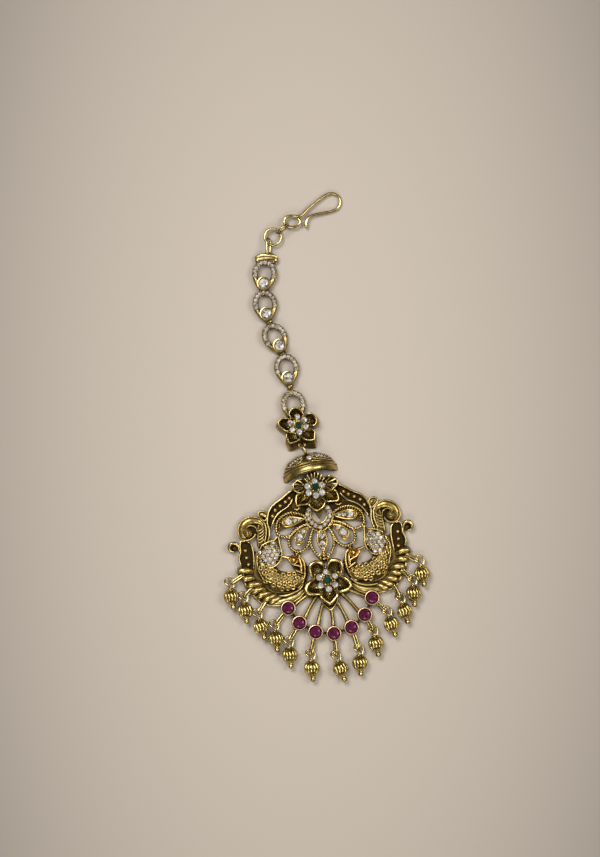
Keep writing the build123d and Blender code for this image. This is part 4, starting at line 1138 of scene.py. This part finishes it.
# Half bell: turned about its own Y axis, cut off at the back, with leaf motifs laid over it
bell = dict(
    place=(-3.75, -9.75), turn=14.4, axisDepth=2.3, steps=72,
    arch=0.24, drop=0.45,
    outside=[(7.00, 0.0), (7.22, 0.10), (7.36, 0.32), (7.36, 0.75), (7.28, 1.15), (7.20, 1.38), (7.36, 1.50),
             (7.42, 1.66), (7.32, 1.82), (7.08, 1.90), (6.98, 2.0), (6.94, 2.3), (6.70, 2.85), (6.1, 3.6),
             (5.3, 4.3), (4.3, 5.0), (2.9, 5.8), (1.4, 6.35), (0, 6.5)],
    inside=[(0, 6.0), (2.6, 5.5), (4.6, 4.1), (5.9, 2.0), (6.3, 1.4), (6.35, 0.0)],
    leaf=[(1.0, 4.3), (2.1, 5.0), (3.5, 4.7), (4.7, 3.8), (5.1, 3.1), (3.8, 2.95), (2.2, 3.4)],
    vein=[(1.5, 4.4), (2.7, 4.25), (3.9, 3.7), (4.7, 3.2)], dotGap=0.78, dotSize=0.34, lineWidth=0.38,
    innerLeaf=[(1.8, 4.5), (2.6, 4.8), (3.6, 4.45), (4.4, 3.6), (3.6, 3.4), (2.5, 3.85)],
    border=[(0.9, 3.2), (2.4, 2.85), (4.0, 2.6), (5.4, 2.5), (6.4, 2.5)],
    scroll=[(5.1, 3.0), (5.6, 3.15), (5.85, 2.8), (5.65, 2.45), (5.25, 2.5)],
    stone=(0.55, 3.95), stoneRadius=0.70, crest=[(-1.5, 4.95), (0, 5.2), (1.6, 4.95)],
    innerEye=(0.3, 3.7), eyeRoot=(0.3, 5.6),
    cup=[(0, -0.5), (0.82, -0.5), (0.95, 0.1), (0.90, 0.3), (0.78, 0.32), (0.72, 0.05), (0, 0.05)],
)


def draped(points, drop, lift, side=1, closed=False):
    # a line laid over a surface, wherever it meets it
    line = smoothLine([(side * x, y) for x, y in points], closed=closed, steps=4)
    found = filter(None, [drop(p.x, p.y) for p in line])
    return [hit + normal * lift for hit, normal in found]


def halfBell():
    metal, stones = bmesh.new(), bmesh.new()
    part = lathe(bell["outside"] + bell["inside"] + bell["outside"][:1], bell["steps"])
    part.transform(Matrix.Rotation(-pi / 2, 4, "X"))
    part.transform(Matrix.Translation((0, 0, -bell["axisDepth"])))
    bmesh.ops.bisect_plane(part, geom=part.verts[:] + part.edges[:] + part.faces[:], plane_co=(0, 0, 0),
                           plane_no=up, clear_inner=True)
    bmesh.ops.holes_fill(part, edges=part.edges, sides=0)
    # its open end arches up in the middle
    for vert in part.verts:
        vert.co.y += bell["arch"] * vert.co.z - bell["drop"]
    join(metal, part)
    drop = surfaceOf(metal)
    for side in (1, -1):
        for outline, share in (("leaf", 1.0), ("innerLeaf", 0.7)):
            line = draped(bell[outline], drop, 0.08, side, closed=True)
            sweep(metal, line, bell["lineWidth"] * share, closed=True, sides=8)
        for line in ("border", "scroll"):
            sweep(metal, draped(bell[line], drop, 0.1, side), bell["lineWidth"], sides=8, taper=softEnds)
        for point, run in rowAlong(draped(bell["leaf"], drop, 0.22, side, closed=True), 0.5):
            stamp(metal, shapes["grain"], stand(point, up, atan2(run.y, run.x) + 0.8, (0.34, 0.16, 0.2)))
        for point, _ in rowAlong(draped(bell["vein"], drop, 0.08, side), bell["dotGap"]):
            setStone(metal, stones, point, bell["dotSize"], turn=point.x)
    sweep(metal, draped(bell["crest"], drop, 0.05), 0.4, sides=8, taper=softEnds)
    hit, normal = drop(*bell["stone"])
    join(metal, placedPart(lathe(bell["cup"], 24), stand(hit, normal)))
    setStone(metal, stones, hit + normal * 0.22, bell["stoneRadius"], normal, kind="bigStone")
    flatEye(metal, *bell["innerEye"], 1.5, bell["eyeRoot"])
    here = chainPlace @ placeAt(*bell["place"], turn=radians(bell["turn"]))
    finishPiece("half_bell", metal, here, "olive", ["dome_cap"], angle=50)
    finishPiece("bell_stone", stones, here, "clear", ["dome_stone"], facets=True)


# Chain: pierced ovals paved over their upper half, each with a stone in a bezel
ovalLook = dict(
    line=[(0, 2.75), (1.5, 2.15), (2.35, 0.6), (2.3, -1.0), (1.55, -2.7), (0.75, -3.7), (0, -3.95),
          (-0.75, -3.7), (-1.55, -2.7), (-2.3, -1.0), (-2.35, 0.6), (-1.5, 2.15)],
    width=1.42, low=0.7, high=1.95, stoneRadius=0.5, stones=11, paveFrom=-0.88, grain=0.24, grainOffset=0.55,
    bezel=[(0, 0.0), (1.45, 0.0), (1.52, 1.2), (1.56, 2.1), (1.68, 2.4), (1.69, 2.6), (1.62, 2.7),
           (1.46, 2.72), (1.33, 2.62), (1.27, 2.2), (0, 2.15)],
    stoneHeight=2.32, stone=1.26, tongueShort=2.0, tongueTop=0.62, tongueWidth=1.5,
    heelRun=(0, 1.0, 2.0, 2.6), heelMiddle=0.95, heelWidth=2.5, heelHigh=1.3,
    heelSizes=(1.0, 0.95, 0.8, 0.45),
)
links = ((-15.4, 40.95, -15.6, 38.3), (-15.3, 33.3, -14.9, 30.65), (-12.9, 25.0, -11.6, 22.65),
         (-9.9, 17.2, -9.45, 14.55))
lastOval = (-8.2, 8.1, 10)


def pavedOval(metal, stones, place):
    look = ovalLook
    part, gems = bmesh.new(), bmesh.new()
    sweep(part, smoothLine(look["line"], (look["low"] + look["high"]) / 2, closed=True), look["width"],
          look["high"] - look["low"], closed=True, sides=12)
    top = smoothLine(look["line"], look["high"] + 0.02, closed=True, steps=8)
    upper = sorted((p for p in top if p.y > look["paveFrom"]), key=lambda p: atan2(p.x, p.y + 0.9))
    gap = sum((b - a).length for a, b in zip(upper, upper[1:])) / (look["stones"] - 1)
    for k, (point, run) in enumerate(rowAlong(upper, gap * 0.998)):
        setStone(part, gems, point + up * 0.06, look["stoneRadius"], turn=k * 0.4)
        across = Vector((-run.y, run.x, 0))
        for offset in (1, -1):
            between = point + run * gap / 2 + across * offset * look["grainOffset"]
            stamp(part, shapes["grain"], stand(between + up * 0.05, size=look["grain"]))
    join(metal, placedPart(part, place))
    join(stones, placedPart(gems, place))


def chainLink(number, holeX, holeY, stoneX, stoneY, nextPlace):
    look = ovalLook
    metal, stones, bright = bmesh.new(), bmesh.new(), bmesh.new()
    turn = atan2(stoneY - holeY, stoneX - holeX) + pi / 2
    pavedOval(metal, stones, placeAt(holeX, holeY, turn=turn))
    join(bright, placedPart(lathe(look["bezel"], 32), placeAt(stoneX, stoneY)))
    setStone(bright, stones, (stoneX, stoneY, look["stoneHeight"]), look["stone"], kind="bigStone",
             turn=number)
    start, end = Vector((stoneX, stoneY, 0)), Vector((*nextPlace, 0))
    run = (end - start).normalized()
    end -= run * look["tongueShort"]
    tongue = [start.lerp(end, share) for share in (0, 0.5, 1)]
    sweep(metal, smoothLine(tongue, look["tongueTop"] / 2 + 0.02), look["tongueWidth"], look["tongueTop"],
          sides=12)
    # the lower end of the oval, closed behind the bezel
    heel = smoothLine([start + run * share for share in look["heelRun"]], look["heelMiddle"])
    sweep(metal, heel, look["heelWidth"], look["heelHigh"], sides=14, taper=steady(look["heelSizes"]))
    if number == 1:
        barAndEye(metal, bright)
    finishPiece(f"oval_link_{number}", metal, chainPlace, "brown", [f"chain_link_{number}"])
    finishPiece(f"oval_link_{number}_bezel", bright, chainPlace, "wire")
    finishPiece(f"oval_link_{number}_stones", stones, chainPlace, "clear", [f"link_stone_{number}"],
                facets=True)


strap = dict(
    body=[(-17.8, 44.8), (-16.3, 45.6), (-14.0, 45.7), (-12.2, 45.1), (-12.1, 43.9), (-13.2, 43.3),
          (-15.2, 43.7), (-17.4, 43.4)],
    edge=[(-17.8, 44.95), (-16.4, 45.45), (-14.8, 45.6), (-13.2, 45.4), (-12.0, 44.8)], edgeWidth=1.1,
    top=1.9, eye=(-14.5, 45.4, -14.35, 49.75), eyeWidth=1.45, eyeWire=0.6, eyeLean=0.9, eyeHeight=1.75,
)


def standingLoop(bm, x0, y0, x1, y1, wide, wire, height, lean):
    # an oval loop of wire from one place to another, leaning over about its own length
    length = hypot(x1 - x0, y1 - y0)
    half = wide / 2
    line = smoothLine([(0, 0), (length * 0.12, half * 0.75), (length * 0.4, half), (length * 0.75, half),
                       (length * 0.95, half * 0.6), (length, 0), (length * 0.95, -half * 0.6),
                       (length * 0.75, -half), (length * 0.4, -half), (length * 0.12, -half * 0.75)],
                      closed=True)
    part = bmesh.new()
    sweep(part, line, wire, closed=True)
    here = placeAt(x0, y0, height, atan2(y1 - y0, x1 - x0)) @ Matrix.Rotation(lean, 4, "X")
    join(bm, placedPart(part, here))


def barAndEye(body, bm):
    pad(body, smoothLine(strap["body"], closed=True), 0.7, strap["top"], crown(0.75, 0.7))
    sweep(bm, smoothLine(strap["edge"], strap["top"] - 0.35), strap["edgeWidth"], 1.5, sides=14,
          taper=swell(0.3))
    standingLoop(bm, *strap["eye"], strap["eyeWidth"], strap["eyeWire"], strap["eyeHeight"], strap["eyeLean"])


# The five-petalled flower over the last oval
chainFlower = dict(
    heart=(-6.95, 2.7),
    petals=(
        ([(-2.3, 2.5), (-1.7, 3.7), (-0.4, 4.2), (0.6, 3.5), (1.3, 2.5), (0.6, 1.4), (-0.3, 1.1),
          (-1.3, 1.5)], (1.08, -0.4)),
        ([(1.75, 2.2), (2.6, 2.8), (3.7, 2.6), (4.4, 1.7), (4.4, 0.3), (3.5, -0.25), (2.2, 0.2), (1.5, 1.1)],
         (1.17, -0.5)),
        ([(2.0, -1.4), (3.9, -1.4), (4.0, -2.9), (3.75, -3.8), (1.6, -3.65), (0.6, -2.3), (1.1, -1.5)],
         (1.13, -1.4)),
        ([(-1.0, -2.0), (-2.5, -2.0), (-2.95, -2.8), (-2.6, -3.6), (-1.9, -4.6), (0.2, -3.8), (0.3, -2.6),
          (-0.3, -1.8)],
         (1.10, -1.4)),
        ([(-2.5, 1.5), (-4.0, 1.4), (-5.0, 0.3), (-4.0, -0.9), (-2.8, -1.6), (-1.7, -0.9), (-1.4, 0.5)],
         (1.14, -0.6)),
    ),
    look=dict(low=1.0, floor=2.0, inner=2.8, outer=3.75, wall=1.1, rim=0.36, rib=0.25, ribEvery=3, fold=0.45,
              cup=((0.15, -0.35), (0.25, -0.3), (0.35, -0.25))),
    boss=2.1, bossTop=2.95, stoneHeight=3.15, stoneRadius=0.68, ballSize=0.24,
    bossSides=((1.0, 1.0), (1.0, 2.2), (0.85, 2.75)),
    stones=((-0.25, 1.95), (1.5, 1.2), (1.95, -0.45), (0.3, -1.85), (-1.45, -1.25), (-2.0, 0.4)),
    balls=((0.7, 1.15), (1.25, 0.3), (0.8, -0.95), (-0.5, -1.1), (-1.2, -0.4), (-0.9, 0.95), (1.1, 2.1),
           (2.6, 0.6), (1.5, -1.6), (-0.7, -2.3), (-2.5, -0.7), (-1.9, 1.6)),
    eye=(-6.05, -2.15), eyeRoot=(-6.3, -0.4),
    foot=[(-7.0, -1.0), (-6.1, -0.8), (-5.2, -1.2), (-5.0, -2.3), (-5.9, -3.1), (-6.9, -2.4)],
)


def flowerLink():
    look = chainFlower
    x, y = look["heart"]
    metal, walls, stones = bmesh.new(), bmesh.new(), bmesh.new()
    ovalX, ovalY, degrees = lastOval
    pavedOval(metal, stones, placeAt(ovalX, ovalY, turn=radians(degrees)))
    for outline, flare in look["petals"]:
        petal(metal, walls, outline, look["heart"], look["look"], flare=flare)
    finishPiece("chain_flower_walls", walls, chainPlace, "wall")
    flowerMiddle(metal, stones, look)
    pad(metal, smoothLine(look["foot"], closed=True, steps=3), 0.8, 2.6, ((0.3, 0.5), (0.35, 0.5),
                                                                          (0.2, 0.2)))
    flatEye(metal, *look["eye"], 1.55, look["eyeRoot"])
    finishPiece("chain_flower", metal, chainPlace, "antique", ["flower_link"])
    finishPiece("chain_flower_stones", stones, chainPlace, "clear", facets=True)
    greenStone("chain_flower_green", chainPlace @ placeAt(x, y, look["stoneHeight"] + 0.2),
               "green_stone_chain", 0.74)


def chain():
    nextPlaces = [link[:2] for link in links[1:]] + [lastOval[:2]]
    for number, (link, nextPlace) in enumerate(zip(links, nextPlaces), 1):
        chainLink(number, *link, nextPlace)
    flowerLink()
    halfBell()


# Hook and rings
hook = dict(
    line=[(-6.95, 54.85), (-6.45, 54.0), (-7.2, 53.0), (-8.6, 52.6), (-10.1, 53.1), (-10.5, 54.2),
          (-9.8, 55.2), (-8.3, 55.55), (-6.9, 55.45), (-5.9, 55.85), (-4.6, 57.2), (-2.2, 59.25),
          (0.1, 60.95), (1.7, 61.35), (3.2, 60.6), (3.65, 59.1), (2.9, 57.5), (1.0, 56.7), (-1.7, 56.15),
          (-3.6, 55.65), (-4.75, 54.6), (-5.0, 52.9)],
    wire=0.78, eyeX=-8.65, height=1.62, drop=0.082, bulb=0.46,
    bendX=-6.3, eyeDrop=0.4, tipRise=-0.25,    # the eye's side lies flatter than the hook's
)


def hairHook():
    bm = bmesh.new()
    points = [(x, y, (hook["eyeX"] - x) * hook["drop"] * (1 if x > hook["bendX"] else hook["eyeDrop"]))
              for x, y in hook["line"]]
    points[0] = (*points[0][:2], hook["tipRise"])
    line = smoothLine(points, hook["height"], steps=7)
    sweep(bm, line, hook["wire"], sides=14, taper=lambda t: 1.0 - 0.12 * sin(7 * pi * t) ** 2)
    sweep(bm, line[-9:], hook["bulb"] * 2, hook["wire"], sides=12, taper=softEnds)
    stamp(bm, shapes["ball"], stand(line[-1], size=hook["bulb"]))
    stamp(bm, shapes["ball"], stand(line[0], size=hook["wire"] / 2))
    finishPiece("hair_hook", bm, chainPlace, "wire", ["hook"])


def rings():
    # jump rings keep the turned shape that they are made with
    for name in ("ring_upper", "ring_round", "ring_flower", "ring_dome"):
        bm = bmesh.new()
        bm.from_mesh(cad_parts[name].data)
        bmesh.ops.remove_doubles(bm, verts=bm.verts, dist=0.000002)
        finishPiece("jump_" + name, bm, Matrix.Identity(4), "wire", [name], angle=60)


for build in (pendantPlate, pendantRims, lotusPierced, redStones, pendantEye, chain, hairHook, rings):
    build()
for side, word in ((1, "right"), (-1, "left")):
    birdBody(side, "bird_" + word)
    birdWing(side, "wing_" + word)
    tailFeather(side, "tail_" + word)
    flutedCrescent(side, "crescent_" + word)
for key in blossoms:
    blossom(key)
for number, row in enumerate(drops, 1):
    drop(number, *row)
print("pieces made:", len(pieces))


# How much open sky each place of the metal sees, painted into the colour: hollows and side walls are painted
# darker, as painted shade and as the patina of age, and edges that bend outwards are rubbed bright
skyLook = dict(
    reach=3.0, start=0.04, rays=((35, 6), (62, 5), (85, 1)),    # elevations, and how many rays at each
    grazing=0.05, under=-0.35,    # faces that look down are measured from below
    sideShare=0.55, flatGain=1.5, flatShare=0.62, edgeShare=0.5, rubLimits=(0.35, 1.05),
)


def skyDirections():
    turned = []
    for elevation, count in skyLook["rays"]:
        for k in range(count):
            around, lift = 2 * pi * (k + 0.3) / count, radians(elevation)
            turned.append(Vector((cos(around) * cos(lift), sin(around) * cos(lift), sin(lift))))
    return turned


def bendOf(mesh):
    # how sharply the surface bends outwards at each vertex, per millimetre
    count = len(mesh.vertices)
    points, normals = numpy.empty(count * 3), numpy.empty(count * 3)
    ends = numpy.empty(len(mesh.edges) * 2, dtype=numpy.int32)
    mesh.vertices.foreach_get("co", points)
    mesh.vertices.foreach_get("normal", normals)
    mesh.edges.foreach_get("vertices", ends)
    points, normals = points.reshape(-1, 3) * 1000, normals.reshape(-1, 3)
    first, second = ends.reshape(-1, 2).T
    run = points[first] - points[second]
    size = (run ** 2).sum(axis=1).clip(1e-4)
    total = numpy.bincount(first, (normals[first] * run).sum(axis=1) / size, count)
    total -= numpy.bincount(second, (normals[second] * run).sum(axis=1) / size, count)
    meets = numpy.bincount(first, minlength=count) + numpy.bincount(second, minlength=count)
    return (total / meets.clip(1)).tolist()


def openSky():
    vertices, faces = [], []
    for piece, _ in pieces:
        first = len(vertices)
        vertices.extend(v.co.copy() for v in piece.data.vertices)
        faces.extend([first + i for i in polygon.vertices] for polygon in piece.data.polygons)
    # metres this small lose precision in the tree, so it is built in millimetres
    tree = BVHTree.FromPolygons([v * 1000 for v in vertices], faces)
    rays = skyDirections()
    least, most = skyLook["rubLimits"]
    for piece, material in pieces:
        if material in stoneTones:
            continue
        shares, bends = [], bendOf(piece.data)
        for vert in piece.data.vertices:
            normal = vert.normal
            origin = vert.co * 1000 + normal * skyLook["start"]
            flip = -1 if normal.z < skyLook["under"] else 1
            clear = weight = 0
            for ray in rays:
                aim = ray * flip
                facing = normal.dot(aim)
                if facing > skyLook["grazing"]:
                    weight += facing
                    if tree.ray_cast(origin, aim, skyLook["reach"])[0] is None:
                        clear += facing
            # side walls are painted darker than faces that look up, as painted shade; edges that bend
            # outwards are rubbed bright by wear
            facingUp = min(1.0, max(0.0, normal.z * skyLook["flatGain"]))
            wornAndLit = skyLook["sideShare"] + (1 - skyLook["sideShare"]) * facingUp
            wornAndLit *= min(most, max(least, skyLook["flatShare"] + skyLook["edgeShare"] * bends[vert.index]))
            shares.append(clear / weight * wornAndLit if weight else 0.0)
        layer = piece.data.attributes.new("openSky", "FLOAT", "POINT")
        layer.data.foreach_set("value", shares)


openSky()
print("open sky measured")


# Floor, light and camera
stage = dict(size=0.6, middle=(-0.0067, 0.0017), near=(0.62, 0.545, 0.472), far=(0.31, 0.272, 0.236),
             reach=0.0985, flat=0.45)


def floorPiece():
    bm = bmesh.new()
    bmesh.ops.create_circle(bm, cap_ends=True, segments=96, radius=stage["size"])
    bm.transform(Matrix.Translation((0, 0, -0.00002)))
    mesh = bpy.data.meshes.new("floor")
    bm.to_mesh(mesh)
    bm.free()
    floor = bpy.data.objects.new("floor", mesh)
    bpy.context.scene.collection.objects.link(floor)
    shader = Shader("paleFloor")
    where = shader.node("TexCoord", output="Object")
    away = shader.node("VectorMath", {"operation": "SUBTRACT"}, {0: where, 1: (*stage["middle"], 0)})
    oval = shader.node("VectorMath", {"operation": "MULTIPLY"}, {0: away, 1: (1, stage["flat"], 1)})
    distance = shader.node("VectorMath", {"operation": "LENGTH"}, {0: oval}, "Value")
    # a painted pool of light: the floor is painted darker away from its middle
    lightPoolFade = ((distance / stage["reach"]) ** 2).clamped()
    shader.set(Base_Color=shader.mix(lightPoolFade, stage["near"], stage["far"]), Roughness=0.75)
    mesh.materials.append(shader.material)


lights = (  # name, place, size, power, colour
    ("key", (-0.24, 0.24, 0.72), 0.30, 3.2, (1.0, 0.985, 0.96)),
    ("fill", (0.40, 0.06, 0.66), 0.34, 1.9, (1.0, 0.985, 0.95)),
    ("low", (-0.06, -0.50, 0.58), 0.32, 1.2, (1.0, 0.98, 0.94)),
)
worldLook = ((0.0, (0.035, 0.032, 0.028)), (0.45, (0.07, 0.066, 0.058)), (0.8, (0.22, 0.21, 0.19)),
             (1.0, (0.26, 0.25, 0.225)))  # height over the horizon and the light from there


def studio():
    for name, place, size, power, colour in lights:
        light = bpy.data.lights.new(name, "AREA")
        light.size, light.energy, light.color = size, power, colour
        lamp = bpy.data.objects.new(name, light)
        lamp.location = place
        lamp.rotation_euler = (-Vector(place)).to_track_quat("-Z", "Y").to_euler()
        bpy.context.scene.collection.objects.link(lamp)
    world = bpy.data.worlds.new("studio")
    world.use_nodes = True
    sky = NodeTree(world.node_tree)
    height = sky.node("SeparateXYZ", {}, {0: sky.node("TexCoord", output="Generated")}, "Z")
    glow = sky.node("ValToRGB", {"stops": worldLook}, {0: height})
    sky.tree.links.new(glow.socket, sky.tree.nodes["Background"].inputs["Color"])
    bpy.context.scene.world = world
    bpy.context.scene.view_settings.view_transform = "Standard"


view = dict(target=(-0.00666, 0.00175, 0.0), elevation=85, distance=0.62, covers=0.2143)


def camera():
    lens = bpy.data.cameras.new("camera")
    lens.sensor_width = 36
    lens.lens = 36 * view["distance"] / view["covers"]
    lens.clip_start, lens.clip_end = 0.01, 10
    eye = bpy.data.objects.new("camera", lens)
    lift = radians(view["elevation"])
    eye.location = Vector(view["target"]) + Vector((0, -cos(lift), sin(lift))) * view["distance"]
    eye.rotation_euler = (pi / 2 - lift, 0, 0)
    bpy.context.scene.collection.objects.link(eye)
    bpy.context.scene.camera = eye


floorPiece()
studio()
camera()
